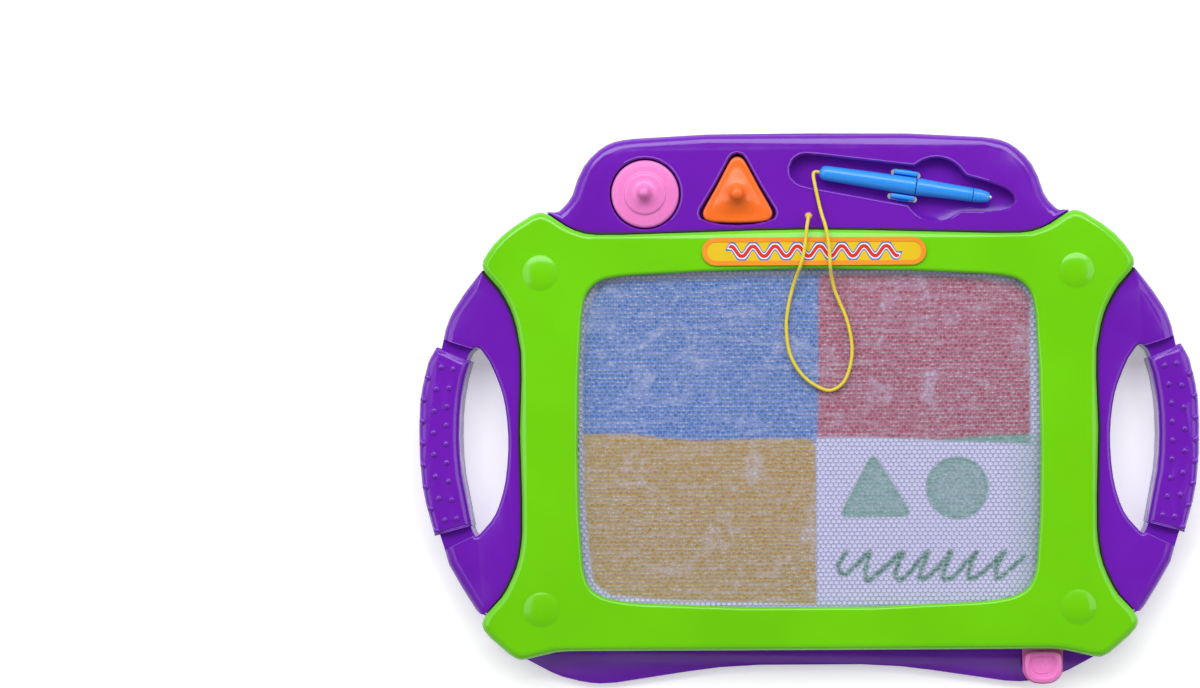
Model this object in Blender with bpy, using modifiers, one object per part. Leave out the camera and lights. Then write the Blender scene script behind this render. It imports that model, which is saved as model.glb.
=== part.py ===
"""A magnetic drawing board that lies on its back, in metres, +Z up and +Y towards its tray.

A moulded back carries a tray with three recesses, two hand grips and a sloped lip. A front
frame is screwed onto it from behind and holds down a honeycomb screen. An eraser bar slides
behind the screen, a pen on a cord lies in the tray, and two stamps sit in their recesses."""

import math

import bmesh
import bpy
from mathutils import Matrix, Vector

# The whole board, and values that many pieces share
BOARD_HALF_WIDTH = 0.2085
BOARD_HALF_LENGTH = 0.148
WALL = 0.002
GAP = 0.0003
OVERRUN = 0.002
OUTLINE_TOLERANCE = 0.0002
SPLINE_PIECES = 10
SHARP_ANGLE = math.radians(40)
CORNER_ANGLE = math.radians(60)
FLAT_ANGLE = math.radians(0.1)
MERGE_DISTANCE = 0.000003
# How much of the asked distance each point of an offset outline has to keep
OFFSET_SHARE = 0.985
ROUND_SIDES = 32
SMALL_SIDES = 10
MIRRORED = Matrix.Scale(-1, 4, Vector((1, 0, 0)))

# Heights of the moulded back
PAN_RIM_HEIGHT = 0.009
TRAY_HEIGHT = 0.0195
TRAY_ROUNDING = 0.0056
HOLE_ROUNDING = 0.0021
ROUNDING_STEPS = 4
GRIP_STAND = 0.0012
GRIP_FOOT = 0.001
GRIP_ROUNDING = 0.0042
NECK_DEPTH = 0.0042

# Front frame
FRAME_HEIGHT = 0.024
FRAME_WALL = 0.0022
EAR_ROUNDING = 0.0046
FRAME_ROUNDING = 0.0034
WINDOW_ROUNDING = 0.002
SEAT_GAP = 0.0007
DOME_RADIUS = 0.0102
DOME_HEIGHT = 0.0017
DOME_STEPS = 3

# Screen, three sheets laid on one another
PANEL_SIDE_MARGIN = 0.0118
PANEL_FAR_MARGIN = 0.0079
PANEL_NEAR_MARGIN = 0.0084
PANEL_CORNER = 0.004
BACK_SHEET = 0.0004
HONEYCOMB = 0.0013
FRONT_FILM = 0.0004
RIB = 0.0022

# Eraser
ERASER_HALF_WIDTH = 0.0042
ERASER_THICKNESS = 0.0029
ERASER_REST_SHARE = 0.598
SHOE_HALF_WIDTH = 0.008
SHOE_LENGTH = 0.0125
MAGNET_STRIP_HALF_WIDTH = 0.0026
MAGNET_STRIP_THICKNESS = 0.0012
RAIL = 0.002
RAIL_BITE = 0.001
ARM_THICKNESS = 0.0027
ARM_LIFT = 0.0006
KNOB_HALF_WIDTH = 0.0112
KNOB_CAP_MARGIN = 0.001
KNOB_REACH = 0.0198
KNOB_HEIGHT = 0.0066
KNOB_DISH_MARGIN = 0.0034
KNOB_DISH_DEPTH = 0.0014
KNOB_ROUNDING = 0.0013

# Pen, along its own axis from the tail
PEN_TAIL_SHARES = (0.029736211, 0.8560811)
PEN_TURN = math.radians(-8.7)
PEN_LENGTH = 0.0932
PEN_RADIUS = 0.00465
PEN_TAIL_RADIUS = 0.0039
PEN_NECK_RADIUS = 0.0038
PEN_SEAM = 0.0522
PEN_NECK = 0.0829
PEN_TIP_RADIUS = 0.0022
PEN_MAGNET_RADIUS = 0.0015
PEN_MAGNET_LENGTH = 0.0075
PEN_MAGNET_STAND = 0.0014
PEN_SIDES = 20
PEN_TAIL_BOW = 0.45
TAIL_STEPS = 4
# The waist of the rear barrel, as shares of its radius and length
PEN_WAIST_SHARES = (0.955, 0.52)
PEN_TAPER = 0.93
PEN_NOSE_SHOULDER = 0.3
PEN_BLUNT_SHARE = 0.6

# Recesses of the tray
STAMP_RECESS_DEPTH = 0.009
PEN_RECESS_DEPTH = 0.0075
RECESS_CLEARANCE = 0.0009
RECESS_CHAMFER = 0.0009
SCOOP_PLACE = 0.063
SCOOP_RADIUS = 0.0169

# Stamps
STAMP_HEIGHT = 0.0084
ROUND_STAMP_SHARES = (-0.4167866, 0.78040541)
ROUND_STAMP_RADIUS = 0.0181
TRIANGLE_STAMP_SHARES = (-0.18033573, 0.77567568)
TRIANGLE_STAMP_SIZE = 0.0211
STAMP_EDGE = 0.0014
STAMP_MAGNET = 0.0014
STAMP_MAGNET_MARGIN = 0.0024
STAMP_KNOB_RISE = 0.0108
STAMP_KNOB_RADIUS = 0.0034
# The knob and its foot, as shares of their radius and of the height over the foot's underside
STAMP_KNOB_SHARES = (
    (0, 1.0), (0.6, 0.965), (0.92, 0.870), (1.0, 0.755), (0.86, 0.611), (0.8, 0.45), (1.05, 0.32),
)
STAMP_FOOT_SHARES = ((0.62, 0.2), (1.0, 0.12), (1.0, 0))
ROUND_FOOT_SHARE = 0.6
TRIANGLE_FOOT_SHARE = 1.3
PYRAMID_RISE_SHARE = 0.3
PYRAMID_SHARE = 0.66
PYRAMID_TOP_SHARE = 0.3

# Pen clip
CLIP_PLACE = 0.0459
CLIP_HALF_LENGTH = 0.0065
CLIP_EAR = 0.0025
CLIP_EAR_ROUNDING = 0.00075
CLIP_PLAY = 0.0006
CLIP_BASE = 0.002
CLIP_TOP_OVER_AXIS = 0.0012
CLIP_BARB = 0.0009
CLIP_BARB_HEIGHT = 0.0014
SLOT_HALF_LENGTH = 0.008
SLOT_HALF_WIDTH = 0.0016

# Cord
CORD_RADIUS = 0.0009
CORD_HOLE_RADIUS = 0.002
CORD_STEP = 0.0043
KNOT_RADIUS = 0.0028

# Label plate
LABEL_PLACE_SHARES = (0.015, 0.568)
LABEL_HALF_LENGTH = 0.0595
LABEL_HALF_WIDTH = 0.0074
LABEL_THICKNESS = 0.0008

# Screws and their bosses
SCREW_HEAD_RADIUS = 0.0029
SCREW_HEAD = 0.0022
HEAD_TAPER = 0.7
SCREW_RADIUS = 0.0013
SCREW_LENGTH = 0.012
SCREW_HEAD_DEPTH = 0.0024
BORE_CLEARANCE = 0.0003
FRAME_BOSS_RADIUS = 0.004
BACK_BOSS_RADIUS = 0.005
COUNTERBORE_DEPTH = 0.005

# Outlines as shares of the half width and the half length, right half from the top down
FRAME_SHARES = (
    (0, 0.648), (0.332, 0.638), (0.486, 0.632), (0.537, 0.632), (0.575, 0.639),
    (0.614, 0.661), (0.655, 0.700), (0.681, 0.715), (0.703, 0.708), (0.720, 0.695),
    (0.766, 0.652), (0.798, 0.611), (0.822, 0.567), (0.833, 0.536), (0.831, 0.508),
    (0.790, 0.438), (0.757, 0.351), (0.736, 0.222), (0.734, 0.135), (0.739, -0.074),
    (0.734, -0.340), (0.736, -0.470), (0.748, -0.557), (0.775, -0.643), (0.793, -0.680),
    (0.813, -0.708), (0.830, -0.735), (0.839, -0.766), (0.832, -0.796), (0.787, -0.857),
    (0.759, -0.888), (0.741, -0.897), (0.713, -0.891), (0.642, -0.869), (0.575, -0.866),
    (0.3, -0.866), (0, -0.866),
)
WINDOW_SHARES = (
    (0, 0.507), (0.163, 0.502), (0.332, 0.494), (0.485, 0.480), (0.531, 0.466),
    (0.558, 0.437), (0.573, 0.394), (0.585, 0.221), (0.591, -0.074), (0.590, -0.297),
    (0.585, -0.469), (0.574, -0.599), (0.559, -0.642), (0.528, -0.671), (0.452, -0.692),
    (0.332, -0.699), (0.163, -0.710), (0, -0.712),
)
FAR_EAR = slice(7, 15)
NEAR_EAR = slice(26, 32)
EAR_TIP_KNOTS = (10, 29)
EAR_REACH = 0.04
TRAY_SHARES = (
    (0, 1.0), (0.256, 0.998), (0.409, 0.987), (0.460, 0.982), (0.500, 0.971),
    (0.532, 0.948), (0.573, 0.890), (0.595, 0.827), (0.604, 0.784), (0.625, 0.741),
    (0.648, 0.717),
)
WING_SHARES = (
    (0.853, 0.480), (0.878, 0.438), (0.899, 0.395), (0.918, 0.350), (0.934, 0.290),
    (0.944, 0.220), (0.972, 0.090), (0.987, -0.075), (0.980, -0.260), (0.958, -0.410),
    (0.940, -0.490), (0.927, -0.556), (0.909, -0.601), (0.891, -0.645), (0.871, -0.688),
    (0.850, -0.731),
)
LIP_SHARES = (
    (0.722, -0.911), (0.705, -0.924), (0.666, -0.955), (0.625, -0.977), (0.557, -0.995),
    (0.518, -0.995), (0.467, -0.985), (0.389, -0.968), (0.311, -0.951), (0.233, -0.937),
    (0.130, -0.929), (0, -0.929),
)
LIP_SLOPE = math.radians(15)
HAND_HOLE_SHARES = (
    (0.849, 0.230), (0.873, 0.205), (0.884, 0.130), (0.896, 0.040), (0.901, -0.081),
    (0.896, -0.215), (0.884, -0.310), (0.873, -0.405), (0.855, -0.452), (0.833, -0.425),
    (0.807, -0.378), (0.785, -0.293), (0.775, -0.211), (0.771, -0.110), (0.775, -0.020),
    (0.785, 0.060), (0.804, 0.135), (0.823, 0.190),
)
GRIP_OUTER_SHARES = (
    (0.954, 0.232), (0.975, 0.179), (0.986, 0.120), (0.996, 0.049), (1.0, -0.060),
    (0.998, -0.190), (0.989, -0.299), (0.974, -0.385), (0.961, -0.450),
)
GRIP_INNER_SHARES = (
    (0.866, -0.415), (0.880, -0.310), (0.892, -0.215), (0.897, -0.081), (0.892, 0.040),
    (0.880, 0.130), (0.869, 0.180),
)
# The necks at a grip's far and near end, on the right
NECK_SHARES = (
    ((0.969, 0.275), (0.978, 0.243), (0.861, 0.172), (0.854, 0.223)),
    ((0.978, -0.453), (0.978, -0.530), (0.854, -0.447), (0.854, -0.407)),
)
# The knob's cap, its right half from the far end round, as shares of its half width and length
KNOB_CAP_SHARES = (
    (0, 1.0), (0.550, 0.985), (0.840, 0.880), (0.970, 0.600), (1.0, 0.120),
    (0.940, -0.330), (0.720, -0.740), (0.380, -0.950), (0, -1.0),
)
# The pen's recess, from its tail end round one side, as shares of its reach and its half width
PEN_RECESS_REACH = 0.1056
PEN_RECESS_HALF_WIDTH = 0.0105
PEN_RECESS_SHARES = (
    (-0.152, 0), (-0.140, 0.420), (-0.105, 0.720), (-0.050, 0.820), (0.015, 0.850),
    (0.350, 0.980), (0.500, 1.0), (0.720, 0.920), (0.880, 0.710), (0.940, 0.560),
    (0.985, 0.300), (1.0, 0),
)

# The triangular stamp round its knob, as shares of its size
TRIANGLE_SHARES = (
    (0, 1.0), (0.110, 0.965), (0.190, 0.860), (0.540, 0.210), (0.860, -0.310),
    (0.925, -0.440), (0.900, -0.550), (0.800, -0.610), (0.420, -0.700), (0, -0.725),
)

# Screw places: the four corners, the far edge and the two sides
SCREW_SHARES = (
    (0.683, 0.495), (-0.683, 0.495), (0.684, -0.713), (-0.684, -0.713),
    (0.288, 0.599), (-0.288, 0.599), (0.688, -0.005), (-0.688, -0.005),
)
CORNER_COUNT = 4

# Rows of bumps on a grip: distance in from its outer edge, first and last place, and count
BUMP_ROWS = (
    (0.0026, 0.018, -0.0635, 8),
    (0.0084, 0.0237, -0.0578, 8),
    (0.0150, 0.0226, -0.0570, 9),
)
BUMP_RADIUS = 0.0017
BUMP_SINK = 0.0009
BUMP_SIDES = 6
BUMP_RINGS = 4

# The cord's route from its hole over the frame and the screen and back to the pen's tail
CORD_ROUTE = (
    (0.0003, 0.1032, 0.0175), (0.0003, 0.1032, 0.0204), (0.0002, 0.1025, 0.0234),
    (-0.0001, 0.1004, 0.0259), (-0.0006, 0.0972, 0.0270), (-0.0012, 0.0910, 0.0269),
    (-0.0022, 0.0840, 0.0269), (-0.0042, 0.0762, 0.0265), (-0.0066, 0.0704, 0.0227),
    (-0.0088, 0.0633, 0.0200), (-0.0108, 0.0550, 0.0198), (-0.0119, 0.0430, 0.0198),
    (-0.0098, 0.0291, 0.0198), (-0.0035, 0.0184, 0.0198), (0.0040, 0.0125, 0.0198),
    (0.0112, 0.0101, 0.0198), (0.0180, 0.0138, 0.0198), (0.0222, 0.0236, 0.0198),
    (0.0230, 0.0345, 0.0198), (0.0203, 0.0480, 0.0198), (0.0162, 0.0580, 0.0198),
    (0.0139, 0.0640, 0.0201), (0.0124, 0.0706, 0.0227), (0.0116, 0.0762, 0.0265),
    (0.0112, 0.0850, 0.0269), (0.0103, 0.0918, 0.0269), (0.0091, 0.0978, 0.0261),
    (0.0073, 0.1033, 0.0233), (0.0054, 0.1085, 0.0212), (0.0036, 0.1135, 0.0209),
    (0.0015, 0.1178, 0.0209), (-0.0003, 0.1208, 0.0199), (-0.0011, 0.1236, 0.0182),
    (-0.0003, 0.1262, 0.0171), (0.0022, 0.1274, 0.01695), (0.0058, 0.12676, 0.01695),
)

# Sizes and places that follow from the ones above
FRAME_FOOT = PAN_RIM_HEIGHT + GAP
FRAME_NEAR_Y = BOARD_HALF_LENGTH * FRAME_SHARES[-1][1]
WINDOW_HALF_WIDTH = BOARD_HALF_WIDTH * max(x for x, _ in WINDOW_SHARES)
WINDOW_FAR_Y = BOARD_HALF_LENGTH * WINDOW_SHARES[0][1]
WINDOW_NEAR_Y = BOARD_HALF_LENGTH * WINDOW_SHARES[-1][1]
PANEL_HALF_WIDTH = WINDOW_HALF_WIDTH + PANEL_SIDE_MARGIN
PANEL_FAR_Y = WINDOW_FAR_Y + PANEL_FAR_MARGIN
PANEL_NEAR_Y = WINDOW_NEAR_Y - PANEL_NEAR_MARGIN
TRAY_FLOOR_Z = TRAY_HEIGHT - WALL


def board_place(shares):
    return Vector((shares[0] * BOARD_HALF_WIDTH, shares[1] * BOARD_HALF_LENGTH))


PEN_TAIL = board_place(PEN_TAIL_SHARES)
ROUND_STAMP_PLACE = board_place(ROUND_STAMP_SHARES)
TRIANGLE_STAMP_PLACE = board_place(TRIANGLE_STAMP_SHARES)
CLIP_MIDDLE = PEN_RADIUS + CLIP_PLAY + CLIP_EAR / 2
PEN_FLOOR_Z = TRAY_HEIGHT - PEN_RECESS_DEPTH
STAMP_FLOOR_Z = TRAY_HEIGHT - STAMP_RECESS_DEPTH
STAMP_BASE_Z = STAMP_FLOOR_Z + GAP
PEN_AXIS_Z = PEN_FLOOR_Z + GAP + PEN_RADIUS
ARM_Z = PAN_RIM_HEIGHT + ARM_LIFT
ARM_TOP_Z = ARM_Z + ARM_THICKNESS
ERASER_Z = ARM_TOP_Z + GAP
ERASER_TOP_Z = ERASER_Z + ERASER_THICKNESS
PANEL_Z = ERASER_TOP_Z + GAP
PANEL_TOP_Z = PANEL_Z + BACK_SHEET + HONEYCOMB + FRONT_FILM + GAP + GAP
WINDOW_SKIRT_Z = PANEL_TOP_Z + GAP
RIB_TOP_Z = PANEL_Z - GAP
RAIL_TOP_Z = ERASER_Z + RAIL_BITE
FAR_RAIL_Y = PANEL_FAR_Y - RIB - GAP - RAIL - RAIL
NEAR_RAIL_Y = PANEL_NEAR_Y + RIB + RAIL
ERASER_FAR_Y = PANEL_FAR_Y - RIB - GAP
ERASER_NEAR_Y = NEAR_RAIL_Y - RAIL - SHOE_LENGTH
ERASER_REST_X = BOARD_HALF_WIDTH * ERASER_REST_SHARE
KNOB_FAR_Y = FRAME_NEAR_Y - SEAT_GAP
KNOB_NEAR_Y = FRAME_NEAR_Y - KNOB_REACH


def clear_scene():
    for old in list(bpy.data.objects):
        bpy.data.objects.remove(old, do_unlink=True)


def new_collection(name, hidden):
    made = bpy.data.collections.new(name)
    made.hide_render = hidden
    bpy.context.scene.collection.children.link(made)
    return made


def material(name, colour, roughness, metallic=0.0):
    made = bpy.data.materials.new(name)
    made.use_nodes = True
    shader = made.node_tree.nodes["Principled BSDF"]
    shader.inputs["Base Color"].default_value = (*colour, 1.0)
    shader.inputs["Roughness"].default_value = roughness
    shader.inputs["Metallic"].default_value = metallic
    return made


def on_board(shares):
    return [Vector((x * BOARD_HALF_WIDTH, y * BOARD_HALF_LENGTH)) for x, y in shares]


def flipped(point):
    return Vector((-point.x, point.y))


def spline_points(knots, closed=False):
    """Close points on a centripetal Catmull-Rom curve through the knots."""
    if closed:
        row = [knots[-1], *knots, knots[0], knots[1]]
    else:
        row = [2 * knots[0] - knots[1], *knots, 2 * knots[-1] - knots[-2]]
    points = []
    for a, b, c, d in zip(row, row[1:], row[2:], row[3:]):
        t1 = math.sqrt((b - a).length)
        t2 = t1 + math.sqrt((c - b).length)
        t3 = t2 + math.sqrt((d - c).length)
        for piece in range(SPLINE_PIECES):
            t = t1 + (t2 - t1) * piece / SPLINE_PIECES
            first = a + (b - a) * (t / t1)
            second = b + (c - b) * ((t - t1) / (t2 - t1))
            third = c + (d - c) * ((t - t2) / (t3 - t2))
            left = first + (second - first) * (t / t2)
            right = second + (third - second) * ((t - t1) / (t3 - t1))
            points.append(left + (right - left) * ((t - t1) / (t2 - t1)))
    return points if closed else [*points, knots[-1].copy()]


def distance_to_chord(point, start, end):
    chord = end - start
    along = max(0.0, min(1.0, (point - start).dot(chord) / max(chord.length_squared, 1e-18)))
    return (point - start - chord * along).length


def thinned(points):
    """Leaves out the points of an open run that lie on its chords."""
    if len(points) < 3:
        return points
    off = [distance_to_chord(point, points[0], points[-1]) for point in points]
    farthest = max(range(len(points)), key=off.__getitem__)
    if off[farthest] < OUTLINE_TOLERANCE:
        return [points[0], points[-1]]
    return thinned(points[: farthest + 1])[:-1] + thinned(points[farthest:])


def symmetric_loop(knots):
    """A clockwise outline from its right half's knots, without a middle point on a level run."""
    around = knots + [flipped(knot) for knot in reversed(knots[1:-1])]
    right = thinned(spline_points(around, closed=True)[: SPLINE_PIECES * (len(knots) - 1) + 1])
    left = [flipped(point) for point in reversed(right[1:-1])]
    first = right[:1] if abs(right[0].y - right[1].y) > OUTLINE_TOLERANCE else []
    last = right[-1:] if abs(right[-1].y - right[-2].y) > OUTLINE_TOLERANCE else []
    return first + right[1:-1] + last + left


def smooth_loop(knots):
    points = spline_points(knots, closed=True)
    half = len(points) // 2
    return thinned(points[: half + 1])[:-1] + thinned([*points[half:], points[0]])[:-1]


def grown(loop, distance):
    """A clockwise outline moved outwards, or inwards where the distance is negative."""
    moved = []
    for before, here, after in zip([loop[-1], *loop], loop, [*loop[1:], loop[0]]):
        first = (here - before).normalized()
        second = (after - here).normalized()
        outward = Vector((-first.y - second.y, first.x + second.x)).normalized()
        stretch = max(0.5, outward.dot(Vector((-first.y, first.x))))
        moved.append(here + outward * (distance / stretch))
    return moved


def offset(loop, distance):
    """A grown outline without the points that cross over where it bends tightly."""
    edges = list(zip(loop, [*loop[1:], loop[0]]))
    least = abs(distance) * OFFSET_SHARE
    return [
        point
        for point in grown(loop, distance)
        if min(distance_to_chord(point, start, end) for start, end in edges) > least
    ]


def turned_loop(loop, place, angle):
    spin = (math.cos(angle), math.sin(angle))
    return [
        Vector((p.x * spin[0] - p.y * spin[1], p.x * spin[1] + p.y * spin[0])) + place
        for p in loop
    ]


def pen_point(along, across=0.0):
    return turned_loop([Vector((along, across))], PEN_TAIL, PEN_TURN)[0]


def circle(place, radius, sides):
    turns = [-math.tau * side / sides for side in range(sides)]
    return [place + Vector((radius * math.cos(t), radius * math.sin(t))) for t in turns]


def pill(place, half_length, half_width):
    reach = half_length - half_width
    quarter = ROUND_SIDES // 4
    turns = [math.pi * step / (2 * quarter) for step in range(2 * quarter + 1)]
    right = [Vector((reach + half_width * math.sin(t), half_width * math.cos(t))) for t in turns]
    return [place + point for point in right] + [place - point for point in right]


def from_bmesh(name, mesh, matrix=None):
    data = bpy.data.meshes.new(name)
    mesh.to_mesh(data)
    mesh.free()
    made = bpy.data.objects.new(name, data)
    if matrix:
        made.matrix_world = matrix
    parts.objects.link(made)
    return made


def as_mesh(curve):
    """The curve's solid as a mesh with welded caps and one face on each flat."""
    bpy.context.view_layer.update()
    graph = bpy.context.evaluated_depsgraph_get()
    data = bpy.data.meshes.new_from_object(curve.evaluated_get(graph))
    mesh = bmesh.new()
    mesh.from_mesh(data)
    bmesh.ops.remove_doubles(mesh, verts=mesh.verts, dist=MERGE_DISTANCE)
    bmesh.ops.recalc_face_normals(mesh, faces=mesh.faces)
    bmesh.ops.dissolve_limit(
        mesh, angle_limit=FLAT_ANGLE, verts=[], edges=mesh.edges[:]
    )
    made = from_bmesh(curve.name, mesh, curve.matrix_world.copy())
    bpy.data.objects.remove(curve)
    bpy.data.meshes.remove(data)
    return made


def prism(name, loops, low, high):
    """The solid inside the first outline and outside the others, between two heights."""
    data = bpy.data.curves.new(name, "CURVE")
    data.dimensions = "2D"
    data.fill_mode = "BOTH"
    data.extrude = (high - low) / 2
    for loop in loops:
        line = data.splines.new("POLY")
        line.points.add(len(loop) - 1)
        for slot, point in zip(line.points, loop):
            slot.co = (point.x, point.y, 0.0, 1.0)
        line.use_cyclic_u = True
    curve = bpy.data.objects.new(name + "_outline", data)
    curve.location.z = (low + high) / 2
    parts.objects.link(curve)
    made = as_mesh(curve)
    made.name = name
    return made


def flared_prism(name, loop, upper, low, high):
    """A prism whose upper outline has the same points as the lower one, moved."""
    made = prism(name, [loop], low, high)
    for vertex in made.data.vertices:
        if vertex.co.z > 0:
            nearest = min(range(len(loop)), key=lambda i: (loop[i] - vertex.co.xy).length)
            vertex.co.xy = upper[nearest]
    return made


def box(name, low, high):
    mesh = bmesh.new()
    bmesh.ops.create_cube(mesh, size=1.0)
    low, high = Vector(low), Vector(high)
    for vertex in mesh.verts:
        share = vertex.co + Vector((0.5, 0.5, 0.5))
        vertex.co = low + Vector(s * side for s, side in zip(share, high - low))
    return from_bmesh(name, mesh)


def turned(name, profile, sides):
    """A solid of revolution from a profile that runs down its outer side."""
    mesh = bmesh.new()
    row = [mesh.verts.new((radius, 0.0, height)) for radius, height in profile]
    for upper, lower in zip(row, row[1:]):
        mesh.edges.new((upper, lower))
    made = from_bmesh(name, mesh)
    screw = made.modifiers.new("turned", "SCREW")
    screw.steps = sides
    screw.render_steps = sides
    screw.use_merge_vertices = True
    screw.merge_threshold = MERGE_DISTANCE
    return made


def round_edges(body, width, steps, share_at):
    """Rounds the sharp edges by the share of a width that their two ends are given."""
    mesh = bmesh.new()
    mesh.from_mesh(body.data)
    weight = mesh.edges.layers.float.new("bevel_weight_edge")
    for edge in mesh.edges:
        if edge.calc_face_angle(0.0) > CORNER_ANGLE:
            edge[weight] = min(share_at(vertex) for vertex in edge.verts)
    mesh.to_mesh(body.data)
    mesh.free()
    bevel = body.modifiers.new("rounding", "BEVEL")
    bevel.limit_method = "WEIGHT"
    bevel.width = width
    bevel.segments = steps
    bevel.use_clamp_overlap = False
    bevel.loop_slide = False
    return body


def inside(loop, point):
    """Whether a point lies within an outline, by the edges that pass to its right."""
    crossed = False
    for start, end in zip(loop, [*loop[1:], loop[0]]):
        if (start.y > point.y) != (end.y > point.y):
            share = (point.y - start.y) / (end.y - start.y)
            crossed ^= point.x < start.x + (end.x - start.x) * share
    return crossed


def on_top(vertex):
    return 1.0 if vertex.co.z > 0 else 0.0


def boolean(body, operation, tool):
    step = body.modifiers.new(operation.lower(), "BOOLEAN")
    step.operation = operation
    step.solver = "EXACT"
    step.object = tool
    tool.hide_render = True
    tool.display_type = "WIRE"
    for home in list(tool.users_collection):
        home.objects.unlink(tool)
    cutters.objects.link(tool)


def join(body, tool):
    boolean(body, "UNION", tool)


def cut(body, tool):
    boolean(body, "DIFFERENCE", tool)


def together(name, bodies):
    """One tool from plain bodies that lie apart from one another."""
    bpy.context.view_layer.update()
    graph = bpy.context.evaluated_depsgraph_get()
    mesh = bmesh.new()
    for body in bodies:
        data = bpy.data.meshes.new_from_object(body.evaluated_get(graph))
        data.transform(body.matrix_world)
        mesh.from_mesh(data)
        bpy.data.meshes.remove(data)
        bpy.data.objects.remove(body)
    return from_bmesh(name, mesh)


def finish(body, finish_material, parent=None):
    """Gives a piece its material and smooth shading, and hangs it on its pivot."""
    body.data.materials.append(finish_material)
    if body.type == "MESH" and body.data.polygons:
        body.data.shade_smooth()
        body.data.set_sharp_from_angle(angle=SHARP_ANGLE)
    if parent:
        body.parent = parent
        body.matrix_parent_inverse = parent.matrix_world.inverted()
    return body


def pivot(name, place):
    made = bpy.data.objects.new(name, None)
    made.location = place
    made.empty_display_size = PEN_RADIUS
    parts.objects.link(made)
    bpy.context.view_layer.update()
    return made


def screw_places():
    return on_board(SCREW_SHARES)


def frame_loop():
    return symmetric_loop(on_board(FRAME_SHARES))


def window_loop():
    return symmetric_loop(on_board(WINDOW_SHARES))


def hand_hole_loops():
    right = smooth_loop(on_board(HAND_HOLE_SHARES))
    return right, [flipped(point) for point in reversed(right)]


def pen_recess_loop():
    """The pen's recess, which widens into a round scoop for the fingers on both sides."""
    size = (PEN_RECESS_REACH, PEN_RECESS_HALF_WIDTH)
    side = [Vector((x * size[0], y * size[1])) for x, y in PEN_RECESS_SHARES]
    scoop = Vector((SCOOP_PLACE, 0.0))
    fine = spline_points(side)
    tail = [point for point in fine if point.x < scoop.x and (point - scoop).length > SCOOP_RADIUS]
    nose = [point for point in fine if point.x > scoop.x and (point - scoop).length > SCOOP_RADIUS]
    start = math.atan2(tail[-1].y, tail[-1].x - scoop.x)
    end = math.atan2(nose[0].y, nose[0].x - scoop.x)
    steps = ROUND_SIDES // 3
    turns = [start + (end - start) * step / steps for step in range(steps + 1)]
    arc = [scoop + Vector((math.cos(t), math.sin(t))) * SCOOP_RADIUS for t in turns]
    half = thinned(tail) + arc[1:-1] + thinned(nose)
    around = half + [Vector((point.x, -point.y)) for point in reversed(half[1:-1])]
    return turned_loop(around, PEN_TAIL, PEN_TURN)


def triangle_loop():
    size = TRIANGLE_STAMP_SIZE
    half = [Vector((x * size, y * size)) for x, y in TRIANGLE_SHARES]
    return [point + TRIANGLE_STAMP_PLACE for point in symmetric_loop(half)]


def grip_loop():
    outer = thinned(spline_points(on_board(GRIP_OUTER_SHARES)))
    return outer + thinned(spline_points(on_board(GRIP_INNER_SHARES)))


def grip_bumps(side):
    """The rows of small domes that follow a grip's outer edge."""
    edge = spline_points(on_board(GRIP_OUTER_SHARES))
    bumps = []
    for inset, first, last, count in BUMP_ROWS:
        for number in range(count):
            y = first + (last - first) * number / (count - 1)
            x = min(edge, key=lambda point: abs(point.y - y)).x - inset
            mesh = bmesh.new()
            bmesh.ops.create_uvsphere(
                mesh, u_segments=BUMP_SIDES, v_segments=BUMP_RINGS, radius=BUMP_RADIUS
            )
            bump = from_bmesh("bump", mesh)
            bump.location = (side * x, y, TRAY_HEIGHT + GRIP_STAND - BUMP_SINK)
            bumps.append(bump)
    return together("grip_bumps", bumps)


def neck_loops():
    """The outlines of the four necks where the grips meet the wings."""
    right = [on_board(shares) for shares in NECK_SHARES]
    return right + [[flipped(point) for point in reversed(loop)] for loop in right]


def grip_necks():
    top = TRAY_HEIGHT + GRIP_STAND + OVERRUN
    necks = [prism("neck", [loop], TRAY_HEIGHT - NECK_DEPTH, top) for loop in neck_loops()]
    return together("grip_necks", necks)


def back_loop():
    """The back's whole outline: tray, ears as on the frame, wings and lip."""
    shares = [*TRAY_SHARES, *FRAME_SHARES[FAR_EAR], *WING_SHARES, *FRAME_SHARES[NEAR_EAR]]
    return symmetric_loop(on_board([*shares, *LIP_SHARES]))


def lip_slope(frame, drop=0.0):
    """The space over the lip, which slopes down and away from the frame, or over its underside."""
    deep = BOARD_HALF_LENGTH
    top = PAN_RIM_HEIGHT + OVERRUN * math.tan(LIP_SLOPE)
    wedge = box("lip_slope", (-BOARD_HALF_WIDTH, -deep, 0.0), (BOARD_HALF_WIDTH, 0.0, deep))
    wedge.location = (0.0, FRAME_NEAR_Y + OVERRUN, top - drop)
    wedge.rotation_euler.x = LIP_SLOPE
    cut(wedge, prism("frame_side", [frame], -deep, deep))
    return wedge


def recess_mouth(name, loop):
    """The tool that chamfers the mouth of a recess."""
    wider = grown(loop, RECESS_CHAMFER + GAP)
    return flared_prism(name, loop, wider, TRAY_HEIGHT - RECESS_CHAMFER, TRAY_HEIGHT + GAP)


def round_recess_loop():
    radius = ROUND_STAMP_RADIUS + RECESS_CLEARANCE
    return circle(ROUND_STAMP_PLACE, radius, ROUND_SIDES)


def recesses():
    """Name, outline and floor height of each recess in the tray."""
    return (
        ("round_recess", round_recess_loop(), STAMP_FLOOR_Z),
        ("triangle_recess", grown(triangle_loop(), RECESS_CLEARANCE), STAMP_FLOOR_Z),
        ("pen_recess", pen_recess_loop(), PEN_FLOOR_Z),
    )


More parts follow.
